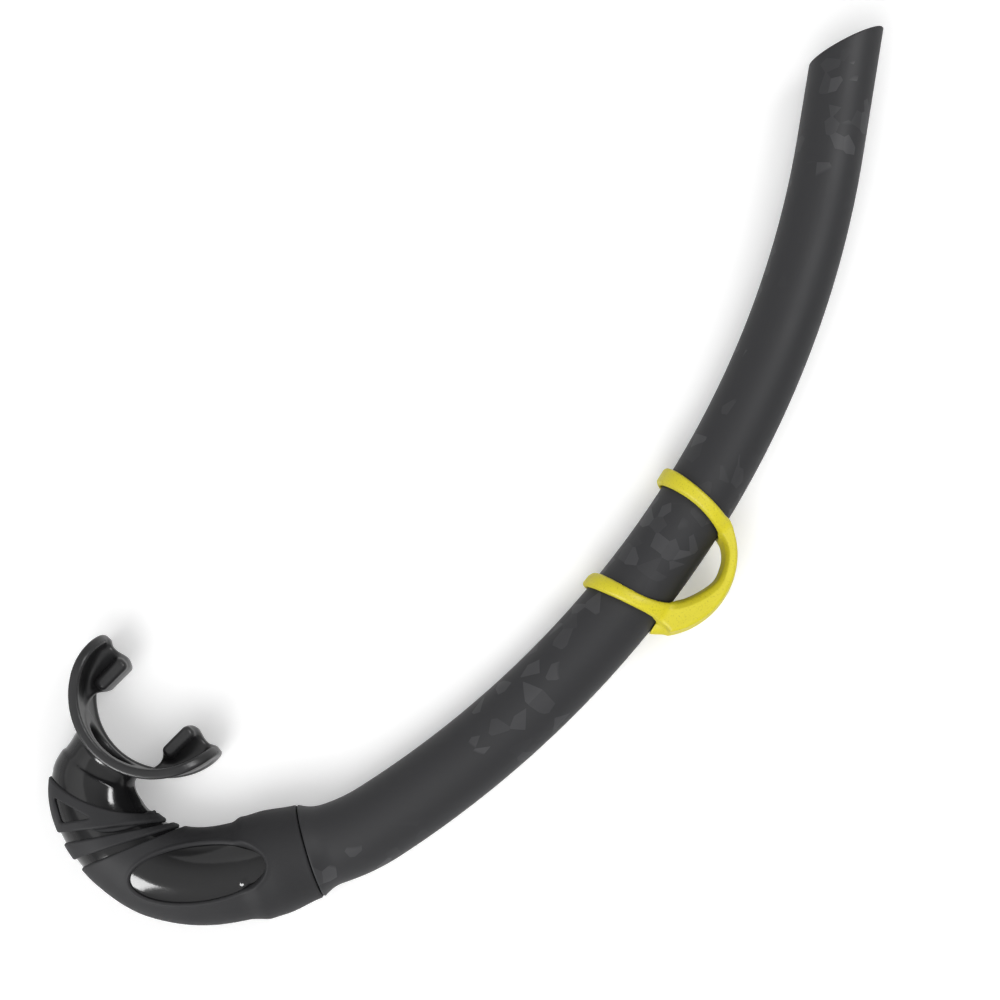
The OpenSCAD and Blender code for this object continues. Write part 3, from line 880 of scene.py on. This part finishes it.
@dataclass
class Mouthpiece:
    """The silicone moulding: socket, hollow elbow, neck, lip flange and two bite tabs with their lugs."""

    mouth_turn: float = 152.0
    flange_r: float = 29.3
    flange_shift: float = 0.5
    flange_half: float = 91.0
    flange_h: float = 36.0
    flange_t: float = 2.2
    rim_d: float = 3.4
    rim_h: float = 3.2
    rim_round: float = 0.8
    rim_fillet: float = 1.2
    flange_fillet: float = 3.2
    tip_r: float = 16.2
    tab_t: float = 4.5
    tab_len: float = 21.0
    tab_end: float = 0.5
    tab_round: float = 1.3
    tab_fillet: float = 3.0
    lug_gap: float = 29.0
    lug_len: float = 13.0
    lug_end: float = 0.6
    lug_t: float = 5.0
    lug_h: float = 15.0
    lug_round: float = 1.9
    lug_fillet: float = 4.5
    wall: float = 2.7
    seam_gap: float = 0.3
    fit_r: float = 13.06
    bore_r: float = 11.0
    stop_at: float = 18.3
    socket_round: float = 0.3
    airway_open: float = 14.0
    airway_round: float = 1.0
    bead_at: float = 11.0
    bead_r: float = 1.5
    bead_rise: float = 12.3
    neck_past: float = 9.0
    crease_at: float = 98.4
    crease_slope: float = 0.33
    crease_h: float = 0.6
    crease_step: Rows = ((-0.3, 0.0), (0.9, 1.0))
    crease_fade: Rows = ((-11.0, 0.0), (-5.0, 1.0))
    gate: tuple[float, float, float] = (23.4, 3.3, 13.2)
    gate_r: float = 2.5
    gate_fillet: float = 0.4
    satin_fade: Rows = ((0.5, 1.0), (2.0, 0.0))
    room: Room = ((-1.5, -101.0, -20.0), (86.0, 19.0, 20.0))
    pitch: float = 0.62
    finish: Finish = field(default=GLOSS_SILICONE)

    def __post_init__(self) -> None:
        """Works out the mouth's middle and its directions."""
        a = math.radians(self.mouth_turn)
        self.out = np.array([math.cos(a), -math.sin(a)])
        self.aside = np.array([math.sin(a), math.cos(a)])
        end = ELBOW.at(np.array(ELBOW.s_flange), np.array(0.0))
        self.middle = end + self.flange_r * self.out + self.flange_shift * self.aside
        self.wall_r = self.flange_r - self.flange_t / 2

    def from_mouth(self, p: Array) -> tuple[Array, Array]:
        """Gives points along and across the mouth's axis, from its middle, and their distance from there."""
        q = (p[:, :2] - self.middle) @ np.stack([self.out, self.aside], axis=1)
        return q, np.hypot(*q.T)

    def flange(self, q: Array, r: Array, z: Array) -> Array:
        """Gives the distance to the lip flange: a thin bent wall with a rolled rim and rounded arms.

        Args:
            q: points seen from the mouth's middle, along and across the mouth's axis.
            r: their distance from that middle.
            z: their height.

        Returns:
            The distances.
        """
        along = np.arctan2(q[:, 1], -q[:, 0]) * self.wall_r
        half = math.radians(self.flange_half) * self.wall_r
        edge = soft_box(np.abs(along) - half, np.abs(z) - self.flange_h / 2, radius=self.tip_r)
        off = np.abs(r - self.wall_r)
        sheet = np.maximum(off - self.flange_t / 2, edge + self.rim_d / 2)
        rim = soft_box(off - self.rim_d / 2, edge, -self.rim_h - edge, radius=self.rim_round)
        return merged(sheet, rim, self.rim_fillet)

    def bite(self, q: Array, r: Array, z: Array) -> Array:
        """Gives the distance to the two bite tabs and their lugs; the arguments are those of flange."""
        x, y = q[:, 0], np.abs(q[:, 1])
        lug_y = (self.lug_gap + self.lug_t) / 2
        tab_x = np.abs(x + self.tab_end + self.tab_len / 2) - self.tab_len / 2
        tab = soft_box(tab_x, lug_y - y, r - self.wall_r, np.abs(z) - self.tab_t / 2, radius=self.tab_round)
        lug = soft_box(
            np.abs(x + self.lug_end + self.lug_len / 2) - self.lug_len / 2,
            np.abs(y - lug_y) - self.lug_t / 2,
            np.abs(z) - self.lug_h / 2,
            radius=self.lug_round,
        )
        return merged(tab, lug, self.lug_fillet)

    def solid(self, p: Array) -> Array:
        """Gives the distance to the whole moulding.

        Args:
            p: points seen from the seam.

        Returns:
            The distances, below zero inside the silicone.
        """
        (s, u), (q, r), z = ELBOW.locate(p), self.from_mouth(p), p[:, 2]
        a, b = ELBOW.half_w(s, u > 0), ELBOW.half_h(s)
        crease = self.crease_at + self.crease_slope * u
        waist = self.crease_h * eased(s - crease, self.crease_step) * eased(u, self.crease_fade)
        ends = np.maximum(self.seam_gap - s, s - ELBOW.s_flange - self.neck_past)
        body = np.maximum(oval(u, z, a, b) + waist, np.maximum(ends, self.wall_r - r))
        body = merged(body, np.linalg.norm(p - self.gate, axis=1) - self.gate_r, self.gate_fillet)
        body = merged(body, self.flange(q, r, z), self.flange_fillet)
        body = merged(body, self.bite(q, r, z), self.tab_fillet)
        opening = eased(s, [(self.stop_at, 0.0), (self.stop_at + self.airway_open, 1.0)])
        air_a = self.bore_r + (a - self.wall - self.bore_r) * opening
        air_b = self.bore_r + (b - self.wall - self.bore_r) * opening
        ends = np.maximum(self.stop_at - 1 - s, s - ELBOW.s_flange - self.neck_past - 1)
        body = cut_out(body, np.maximum(oval(u, z, air_a, air_b), ends), self.airway_round)
        across = np.hypot(u, z)
        socket = np.maximum(across - self.fit_r, s - self.stop_at)
        groove = np.hypot(s - self.bead_at, across - self.bead_rise) - self.bead_r
        return cut_out(body, np.minimum(socket, groove), self.socket_round)

    def build(self) -> Piece:
        """Builds the moulding as one closed piece.

        Returns:
            The dressed mouthpiece.
        """
        points, faces = skin_of(self.solid, self.room, self.pitch)
        piece = mesh_object("mouthpiece_visual", SEAM.world(points), faces, self.finish)
        self.mark_satin(piece.data)
        return piece

    def mark_satin(self, mesh: bpy.types.Mesh) -> None:
        """Marks the lip flange and the bite tabs with 1 in the attribute that the finish reads.

        Args:
            mesh: the moulding's mesh, which gets the attribute.
        """
        p = SEAM.local(points_of(mesh))
        q, r = self.from_mouth(p)
        away = np.minimum(self.flange(q, r, p[:, 2]), self.bite(q, r, p[:, 2]))
        marks = mesh.attributes.new("satin", "FLOAT", "POINT")
        marks.data.foreach_set("value", eased(away, self.satin_fade))


# Overmoulded covers


class Edge(Enum):
    """How a cover's edge is drawn on the elbow."""

    SEAM = "square to the spigot"
    FAN = "straight, from the fan point"
    ARC = "an arc"


@dataclass(frozen=True)
class CoverEdge:
    """One edge of a cover: its kind, and its angle past the start of the second arc."""

    kind: Edge
    angle: float = 0.0
    slant: float = 30.5
    bow_r: float = 58.0
    fan_back: float = 18.6
    fan_in: float = 1.8
    seam_gap: float = 0.3

    def past(self, p: Array) -> Array:
        """Tells how far points lie before the edge.

        Args:
            p: points seen from the seam.

        Returns:
            The distances, above zero on the seam's side.
        """
        turn = math.radians(ELBOW.first_turn)
        a = math.pi / 2 - turn - math.radians(self.angle)
        if self.kind is Edge.FAN:
            along = np.array([math.cos(turn), -math.sin(turn)])
            out = np.array([math.sin(turn), math.cos(turn)])
            q = p[..., :2] - (ELBOW.second_hub - self.fan_back * along - self.fan_in * out)
            return math.cos(a) * q[..., 1] - math.sin(a) * q[..., 0]
        b = a - math.radians(self.slant) - math.pi / 2
        hub = ELBOW.second_hub + ELBOW.second_r * np.array([math.cos(a), math.sin(a)])
        hub = hub + self.bow_r * np.array([math.cos(b), math.sin(b)])
        return np.hypot(p[..., 0] - hub[0], p[..., 1] - hub[1]) - self.bow_r

    def place(self, t: Array, lift: float) -> Array:
        """Finds where the edge crosses the lines along the elbow.

        Args:
            t: angles round the section.
            lift: height above the elbow's skin at which the edge was drawn.

        Returns:
            The places along the centreline.
        """
        if self.kind is Edge.SEAM:
            return np.full(np.shape(t), self.seam_gap)
        low, high = np.full(np.shape(t), ELBOW.lead_len / 2), np.full(np.shape(t), ELBOW.s_flange)
        for _ in range(26):
            middle = (low + high) / 2
            before = self.past(ELBOW.skin(middle, t, lift)) > 0
            low, high = np.where(before, middle, low), np.where(before, high, middle)
        return (low + high) / 2


@dataclass
class Cover:
    """A matte band moulded over the elbow, with soft edges and perhaps the same window on both sides."""

    name: str
    low: CoverEdge
    high: CoverEdge
    window: Array | None = None
    thickness: float = 1.0
    bond: float = 0.1
    edge_r: float = 0.75
    lip_h: float = 0.0
    lip_in: float = 1.0
    lip_w: float = 0.55
    collar: bool = False
    collar_rows: Rows = ((0.0, 16.9), (14.0, 18.55))
    collar_end: float = 19.5
    collar_step: float = 6.0
    section_r: float = 16.0
    across: int = 72
    sideways: int = 44
    rings: int = 34
    finish: Finish = field(default=MATTE_OVERMOULD)

    def depth(self, s: Array) -> Array:
        """Gives the cover's thickness; the sleeve swells to a collar over the spigot.

        Args:
            s: places along the centreline.

        Returns:
            The thickness at each place.
        """
        if not self.collar:
            return np.full(np.shape(s), self.thickness)
        collar = eased(s, self.collar_rows) - ELBOW.socket_r
        rest = eased(s, [(self.collar_end, 0.0), (self.collar_end + self.collar_step, 1.0)])
        return collar + (self.thickness - collar) * rest

    def patch(self) -> tuple[Array, Array]:
        """Lays out the upper half of the cover.

        Returns:
            The s and t of its points, as rows from the window or the low edge outwards.
        """
        mesh_t = np.linspace(0, math.pi, self.across + 1)
        low, high = self.low.place(mesh_t, self.thickness), self.high.place(mesh_t, self.thickness)
        share = (1 - np.cos(np.linspace(0, math.pi, self.rings)))[:, None] / 2
        if self.window is None:
            return low + (high - low) * share, np.repeat(mesh_t[None], self.rings, axis=0)
        side = (1 - np.cos(np.linspace(0, math.pi, self.sideways + 1)))[1:-1] / 2
        there, back = low[-1] + (high[-1] - low[-1]) * side, high[0] + (low[0] - high[0]) * side
        rim_s = np.concatenate([low, there, high[::-1], back])
        rim_t = np.concatenate([mesh_t, np.full(len(side), math.pi), mesh_t[::-1], np.zeros(len(side))])
        hole_s, hole_u = ELBOW.locate(self.window)
        hole_t = np.arccos(np.clip(hole_u / (ELBOW.half_w(hole_s, hole_u > 0) + self.thickness), -1, 1))
        mid_s, mid_t = hole_s.mean(), hole_t.mean()
        hole_a = np.arctan2((hole_t - mid_t) * self.section_r, hole_s - mid_s) % (2 * math.pi)
        rim_a = np.arctan2((rim_t - mid_t) * self.section_r, rim_s - mid_s)
        order = np.argsort(hole_a)
        turn = hole_a[order]
        start_s = np.interp(rim_a, turn, hole_s[order], period=2 * math.pi)
        start_t = np.interp(rim_a, turn, hole_t[order], period=2 * math.pi)
        return start_s + (rim_s - start_s) * share, start_t + (rim_t - start_t) * share

    def build(self) -> Piece:
        """Builds the cover as one closed piece.

        Returns:
            The dressed cover.
        """
        s, t = self.patch()
        fine = np.linspace(0, 2 * math.pi, 721)
        edges = [edge.place(fine, self.thickness) for edge in (self.low, self.high)]
        brims = np.vstack([ELBOW.skin(edge, fine, self.bond) for edge in edges])
        base = ELBOW.skin(s, t, self.bond)
        inset = nearest(base.reshape(-1, 3), brims).reshape(s.shape)
        lip = np.zeros(s.shape)
        ring = self.window is not None
        if ring:
            step = np.roll(base[0], -1, axis=0) - base[0]
            loop = np.concatenate([base[0] + step * f for f in np.linspace(0, 1, 6)[:-1]])
            from_window = nearest(base.reshape(-1, 3), loop).reshape(s.shape)
            inset = np.minimum(inset, from_window)
            lip = self.lip_h * np.exp(-(((from_window - self.lip_in) / self.lip_w) ** 2))
        inset[0 if ring else -1] = 0.0
        rise = np.sqrt(1 - (1 - np.clip(inset / self.edge_r, 0, 1)) ** 2)
        top = ELBOW.skin(s, t, self.bond + (self.depth(s) - self.bond) * rise + lip * rise)
        rows, columns = s.shape
        sheets = [sheet * (1, 1, side) for side in (1, -1) for sheet in (top, base)]
        points = np.concatenate([sheet.reshape(-1, 3) for sheet in sheets])
        k, i = np.meshgrid(np.arange(rows - 1), np.arange(columns if ring else columns - 1), indexing="ij")
        near, far = k * columns, (k + 1) * columns
        j = (i + 1) % columns
        quads = np.stack([near + i, near + j, far + j, far + i], axis=-1).reshape(-1, 4)
        faces = np.concatenate([quads + n * rows * columns for n in range(4)])
        return mesh_object(self.name, SEAM.world(points), faces, self.finish)


def nearest(points: Array, line: Array) -> Array:
    """Gives the distance from each point to the nearest point of a line."""
    parts = np.array_split(points, 24)
    return np.concatenate([np.linalg.norm(p[:, None] - line[None], axis=2).min(axis=1) for p in parts])


def oval_window(
    at: float = 39.0, off: float = 1.2, length: float = 47.5, width: float = 20.0, turn: float = 10.5
) -> Array:
    """Draws the sleeve's oval window in the plane of the J.

    Args:
        at: its middle along the elbow.
        off: how far that middle lies towards the hollow.
        length: its length.
        width: its width.
        turn: its turn off the elbow's own direction, in degrees.

    Returns:
        The outline, seen from the seam.
    """
    middle = ELBOW.at(np.array(at), np.array(-off))
    heading = math.radians(turn) - (at - ELBOW.lead_len) / ELBOW.first_r
    t = np.linspace(0, 2 * math.pi, 240, endpoint=False)
    x, y = length / 2 * np.cos(t), width / 2 * np.sin(t)
    c, s = math.cos(heading), math.sin(heading)
    return middle + np.stack([c * x - s * y, s * x + c * y], axis=1)


def wedge_window(corners: Sequence[tuple[float, float]], corner_r: float) -> Array:
    """Draws the wedge band's three-cornered window in the plane of the J.

    Args:
        corners: its corners as (turn into the second arc, distance out from its centreline).
        corner_r: how far each corner is cut back to round it.

    Returns:
        The outline, seen from the seam.
    """
    out = []
    for turn, off in corners:
        a = math.pi / 2 - math.radians(ELBOW.first_turn + turn)
        out.append(ELBOW.second_hub + (ELBOW.second_r + off) * np.array([math.cos(a), math.sin(a)]))
    loop = []
    for before, here, after in zip(np.roll(out, 1, axis=0), out, np.roll(out, -1, axis=0)):
        a = here + (before - here) / np.linalg.norm(before - here) * corner_r
        b = here + (after - here) / np.linalg.norm(after - here) * corner_r
        t = np.linspace(0, 1, 14)[:, None]
        loop.append(a * (1 - t) ** 2 + 2 * here * t * (1 - t) + b * t**2)
    rounded = np.vstack(loop)
    t = np.linspace(0, 1, 6, endpoint=False)[:, None]
    return np.vstack([a + (b - a) * t for a, b in zip(rounded, np.roll(rounded, -1, axis=0))])


# Keeper


@dataclass
class Keeper:
    """The rubber keeper: two bands round the tube that run together in a bridge, which holds the mask strap.

    Its outlines are (along the tube, out of the bend) from the keeper's middle.
    """

    at: float = -3.15
    bend_r: float = 366.0
    bore_r: float = 13.848
    band_t: float = 2.2
    bridge_h: float = 17.0
    skirt_h: float = 8.0
    disc_r: float = 27.9
    disc_at: tuple[float, float] = (-2.0, -1.0)
    bridge_round: float = 1.4
    bridge_from: float = 7.0
    band_round: float = 1.5
    band_sink: float = 0.5
    band_slope: float = 0.4
    band_fillet: float = 1.5
    bore_round: float = 0.5
    skirt_round: float = 3.0
    skirt_fillet: float = 3.0
    chamfer: Rows = ((-4.0, 2.6), (12.0, 1.4))
    chamfer_drop: float = 1.9
    map_cell: float = 0.25
    map_corner: tuple[float, float] = (-33.0, -24.0)
    map_count: tuple[int, int] = (265, 220)
    room: Room = ((-31.0, -18.5, -18.5), (31.0, 29.0, 18.5))
    pitch: float = 0.42
    hollow: tuple[tuple[float, float], ...] = (
        (-21.3, -22.0), (-19.6, -7.5), (-17.6, 3.8), (-14.2, 11.3), (-8.4, 17.0), (1.2, 21.3), (7.6, 20.6),
        (12.1, 18.1), (15.0, 14.2), (17.4, 7.4), (19.1, -0.7), (19.7, -10.0), (19.8, -22.0),
    )  # fmt: skip
    outside: tuple[tuple[float, float], ...] = (
        (28.2, -22.0), (26.1, -9.6), (23.9, 3.0), (21.4, 15.0), (18.0, 34.0),
        (-20.6, 34.0), (-20.6, 15.0), (-23.2, 2.1), (-25.7, -8.2), (-29.0, -22.0),
    )  # fmt: skip
    finish: Finish = field(default=KEEPER_RUBBER)

    def __post_init__(self) -> None:
        """Draws the outlines on a fine grid, from which the field reads them."""
        axes = [low + self.map_cell * np.arange(n) for low, n in zip(self.map_corner, self.map_count)]
        grid = np.stack(np.meshgrid(*axes, indexing="ij"), axis=-1).reshape(-1, 2)
        self.hollow_map = loop_distance(grid, smooth_line(self.hollow)).reshape(self.map_count)
        self.outside_map = loop_distance(grid, smooth_line(self.outside)).reshape(self.map_count)

    def read(self, drawn: Array, x: Array, out: Array) -> Array:
        """Reads the distance to a drawn outline.

        Args:
            drawn: the outline's map.
            x: places along the tube.
            out: how far they lie out of the bend.

        Returns:
            The distances, below zero inside the outline.
        """
        f = (np.stack([x, out], axis=1) - self.map_corner) / self.map_cell
        f = np.clip(f, 0, np.array(drawn.shape) - 1.001)
        i = f.astype(int)
        f = f - i
        a = drawn[i[:, 0], i[:, 1]] * (1 - f[:, 0]) + drawn[i[:, 0] + 1, i[:, 1]] * f[:, 0]
        b = drawn[i[:, 0], i[:, 1] + 1] * (1 - f[:, 0]) + drawn[i[:, 0] + 1, i[:, 1] + 1] * f[:, 0]
        return a * (1 - f[:, 1]) + b * f[:, 1]

    def solid(self, p: Array) -> Array:
        """Gives the distance to the keeper.

        Args:
            p: points (along, out, across) that follow the bend.

        Returns:
            The distances, below zero inside the rubber.
        """
        x, out, z = p.T
        room = self.read(self.hollow_map, x, out)
        brim = self.read(self.outside_map, x, out)
        slope = self.chamfer_drop * np.clip(1 - room / eased(x, self.chamfer), 0, 1)
        off_axis = np.hypot(out, z)
        half = self.band_t / 2
        sheet = np.abs(off_axis - self.bore_r - half + self.band_sink) - half - self.band_sink
        bands = soft_box(np.maximum(brim, -room), sheet + self.band_slope * slope, radius=self.band_round)
        disc = np.hypot(x - self.disc_at[0], out - self.disc_at[1]) - self.disc_r
        ring = np.maximum(disc, -room)
        top = np.abs(z) - self.bridge_h / 2 + slope
        bridge = soft_box(np.maximum(ring, brim), top, radius=self.bridge_round)
        skirt = soft_box(ring, np.abs(z) - self.skirt_h / 2, radius=self.skirt_round)
        bridge = np.maximum(merged(bridge, skirt, self.skirt_fillet), self.bridge_from - out)
        return cut_out(merged(bands, bridge, self.band_fillet), off_axis - self.bore_r, self.bore_round)

    def build(self) -> Piece:
        """Builds the keeper as one closed piece.

        Returns:
            The dressed keeper.
        """
        p, faces = skin_of(self.solid, self.room, self.pitch)
        turn = math.radians(self.at) + p[:, 0] / self.bend_r
        r = self.bend_r + p[:, 1]
        points = BEND_CENTRE.world(np.c_[r * np.sin(turn), -r * np.cos(turn), p[:, 2]])
        return mesh_object("keeper_visual", points, faces, self.finish)


# Studio


class Reach(Enum):
    """What a lamp does: it lights surfaces softly, or it is a bright shape that glossy surfaces mirror."""

    LIGHT = "soft light"
    SHINE = "mirrored shape"


@dataclass(frozen=True)
class Lamp:
    """A soft lamp that points at the snorkel: its place, width and height in metres, its power in watts."""

    name: str
    place: tuple[float, float, float]
    size: tuple[float, float]
    power: float
    reach: Reach

    def hang(self) -> None:
        """Adds the lamp to the scene."""
        light = bpy.data.lights.new(self.name, "AREA")
        light.shape = "RECTANGLE"
        light.size, light.size_y = self.size
        light.energy = self.power
        lamp = put(self.name, light)
        lamp.location = self.place
        lamp.rotation_euler = (-Vector(self.place)).to_track_quat("-Z", "Y").to_euler()
        lamp.visible_glossy = self.reach is Reach.SHINE
        lamp.visible_diffuse = self.reach is Reach.LIGHT
        lamp.visible_camera = False


@dataclass
class Studio:
    """The pale table, the soft lamps and the camera above the plane of the J."""

    target: tuple[float, float] = (-35.3, -306.1)
    right: tuple[float, float] = (0.5373, -0.8434)
    tilt: float = 6.8
    distance: float = 760.0
    lens: float = 76.0
    table: str = "#f4f4f4"
    table_drop: float = 0.3
    table_half: float = 900.0
    glow: float = 0.3
    sky: float = 0.28
    ceiling: float = 1.15
    ceiling_way: tuple[float, float, float] = (-0.36, -0.23, 0.9)
    ceiling_span: tuple[float, float] = (0.3, 1.0)
    wall_span: tuple[float, float] = (0.6, 0.2)
    lamps: tuple[Lamp, ...] = (
        Lamp("window", (-1.01, 0.15, 0.66), (0.36, 0.52), 16.0, Reach.SHINE),
        Lamp("bulb", (0.83, -0.3, 1.01), (0.58, 0.24), 13.0, Reach.SHINE),
        Lamp("card", (0.0, 0.82, 0.76), (1.3, 0.9), 3.7, Reach.SHINE),
        Lamp("key", (-1.2, -0.16, 1.76), (1.1, 1.1), 15.0, Reach.LIGHT),
        Lamp("overhead", (-0.8, -0.5, 2.24), (2.1, 2.1), 20.0, Reach.LIGHT),
        Lamp("fill", (1.06, -0.56, 1.7), (0.8, 0.8), 7.5, Reach.LIGHT),
    )

    def lay_table(self) -> None:
        """Lays the pale table under the snorkel; the camera sees it as white where no shadow falls."""
        half, low = self.table_half * MM, -self.table_drop * MM
        mesh = bpy.data.meshes.new("table")
        corners = [(x * half, y * half, low) for x, y in ((-1, -1), (1, -1), (1, 1), (-1, 1))]
        mesh.from_pydata(corners, [], [(0, 1, 2, 3)])
        table = put("table", mesh)
        made = bpy.data.materials.new("pale_table")
        tree = blank_tree(made)
        add = partial(add_node, tree)
        glow = add("ShaderNodeMath", {0: self.seen(tree), 1: self.glow}, operation="MULTIPLY")
        cover = add("ShaderNodeBsdfDiffuse", {"Color": linear(self.table)})
        light = add("ShaderNodeEmission", {"Strength": glow})
        add("ShaderNodeOutputMaterial", {"Surface": add("ShaderNodeAddShader", {0: cover, 1: light})})
        mesh.materials.append(made)

    def seen(self, tree: Tree) -> Node:
        """Adds the nodes that tell a ray that sees the background from one that carries light.

        Args:
            tree: the table's or the world's node tree.

        Returns:
            A node that gives 1 for the camera and for what mirrors or lets through, and otherwise 0.
        """
        rays = add_node(tree, "ShaderNodeLightPath").outputs
        either = {0: rays["Is Camera Ray"], 1: rays["Is Glossy Ray"]}
        either = add_node(tree, "ShaderNodeMath", either, operation="MAXIMUM")
        any_of = {0: either, 1: rays["Is Transmission Ray"]}
        return add_node(tree, "ShaderNodeMath", any_of, operation="MAXIMUM")

    def hang_lamps(self) -> None:
        """Sets the surroundings, white walls under a ceiling that is bright on one side, and the lamps."""
        world = bpy.data.worlds.new("studio")
        bpy.context.scene.world = world
        tree = blank_tree(world)
        add = partial(add_node, tree)
        way = add("ShaderNodeTexCoord").outputs["Generated"]
        height = add("ShaderNodeSeparateXYZ", {0: way}).outputs["Z"]
        top, foot = self.wall_span
        wall = add("ShaderNodeMapRange", {"Value": height, "From Min": top, "From Max": foot})
        bright = Vector(self.ceiling_way).normalized()
        near = add("ShaderNodeVectorMath", {0: way, 1: bright}, operation="DOT_PRODUCT").outputs["Value"]
        dull, full = self.ceiling_span
        span = {"From Min": dull, "From Max": full, "To Min": self.sky, "To Max": self.ceiling}
        above = add("ShaderNodeMapRange", {"Value": near, **span}, interpolation_type="SMOOTHSTEP")
        around = add("ShaderNodeMath", {0: wall, 1: above}, operation="MAXIMUM")
        strength = add("ShaderNodeMix", {"Factor": self.seen(tree), "A": self.sky, "B": around})
        white = {"Color": (1.0, 1.0, 1.0, 1.0), "Strength": strength.outputs["Result"]}
        add("ShaderNodeOutputWorld", {"Surface": add("ShaderNodeBackground", white)})
        for lamp in self.lamps:
            lamp.hang()

    def set_camera(self) -> None:
        """Sets the camera almost straight above the plane of the J."""
        tilt = math.radians(self.tilt)
        up = Vector((-self.right[1], self.right[0], 0.0))
        back = Vector((0.0, 0.0, math.cos(tilt))) - up * math.sin(tilt)
        right = Vector((*self.right, 0.0)).normalized()
        turned = Matrix((right, back.cross(right), back)).transposed().to_4x4()
        target = Vector(BEND_CENTRE.world([[*self.target, 0.0]])[0])
        lens = bpy.data.cameras.new("camera")
        lens.lens = self.lens
        lens.sensor_width = 36.0
        camera = put("camera", lens)
        camera.matrix_world = Matrix.Translation(target + back * self.distance * MM) @ turned
        bpy.context.scene.camera = camera


# Assembly


def fit(piece: Piece, node: str, body: str) -> None:
    """Lets a finished piece stand for its CAD node and ride on its body.

    Args:
        piece: the finished piece.
        node: the CAD node that it replaces.
        body: the CAD body that it moves with.
    """
    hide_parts(node)
    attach(piece, body)
    log.info("%s: %d faces on %s", piece.name, len(piece.data.polygons), body)


def main() -> None:
    """Builds and dresses the snorkel, then the studio round it."""
    logging.basicConfig(level=logging.INFO, format="%(name)s %(message)s")
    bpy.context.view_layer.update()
    bpy.context.scene.view_settings.view_transform = "Standard"
    studio = Studio()
    studio.set_camera()
    tube = SnorkelTube()
    fit(tube.build(), "tube", "tube")
    mouthpiece = Mouthpiece()
    fit(mouthpiece.build(), "mouthpiece", "mouthpiece")
    covers = {
        "elbow_sleeve": Cover(
            "sleeve_visual",
            CoverEdge(Edge.SEAM),
            CoverEdge(Edge.FAN, 34.4),
            oval_window(),
            collar=True,
            lip_h=0.25,
        ),
        "narrow_band": Cover("narrow_band_visual", CoverEdge(Edge.FAN, 38.6), CoverEdge(Edge.FAN, 45.8)),
        "wedge_band": Cover(
            "wedge_band_visual",
            CoverEdge(Edge.FAN, 50.1),
            CoverEdge(Edge.ARC, 47.0),
            wedge_window(((53.5, 13.4), (35.0, 0.4), (39.0, 12.2)), 1.6),
        ),
    }
    for node, cover in covers.items():
        fit(cover.build(), node, "mouthpiece")
    keeper = Keeper()
    fit(keeper.build(), "keeper", "keeper")
    studio.lay_table()
    studio.hang_lamps()


if __name__ == "__main__":
    main()
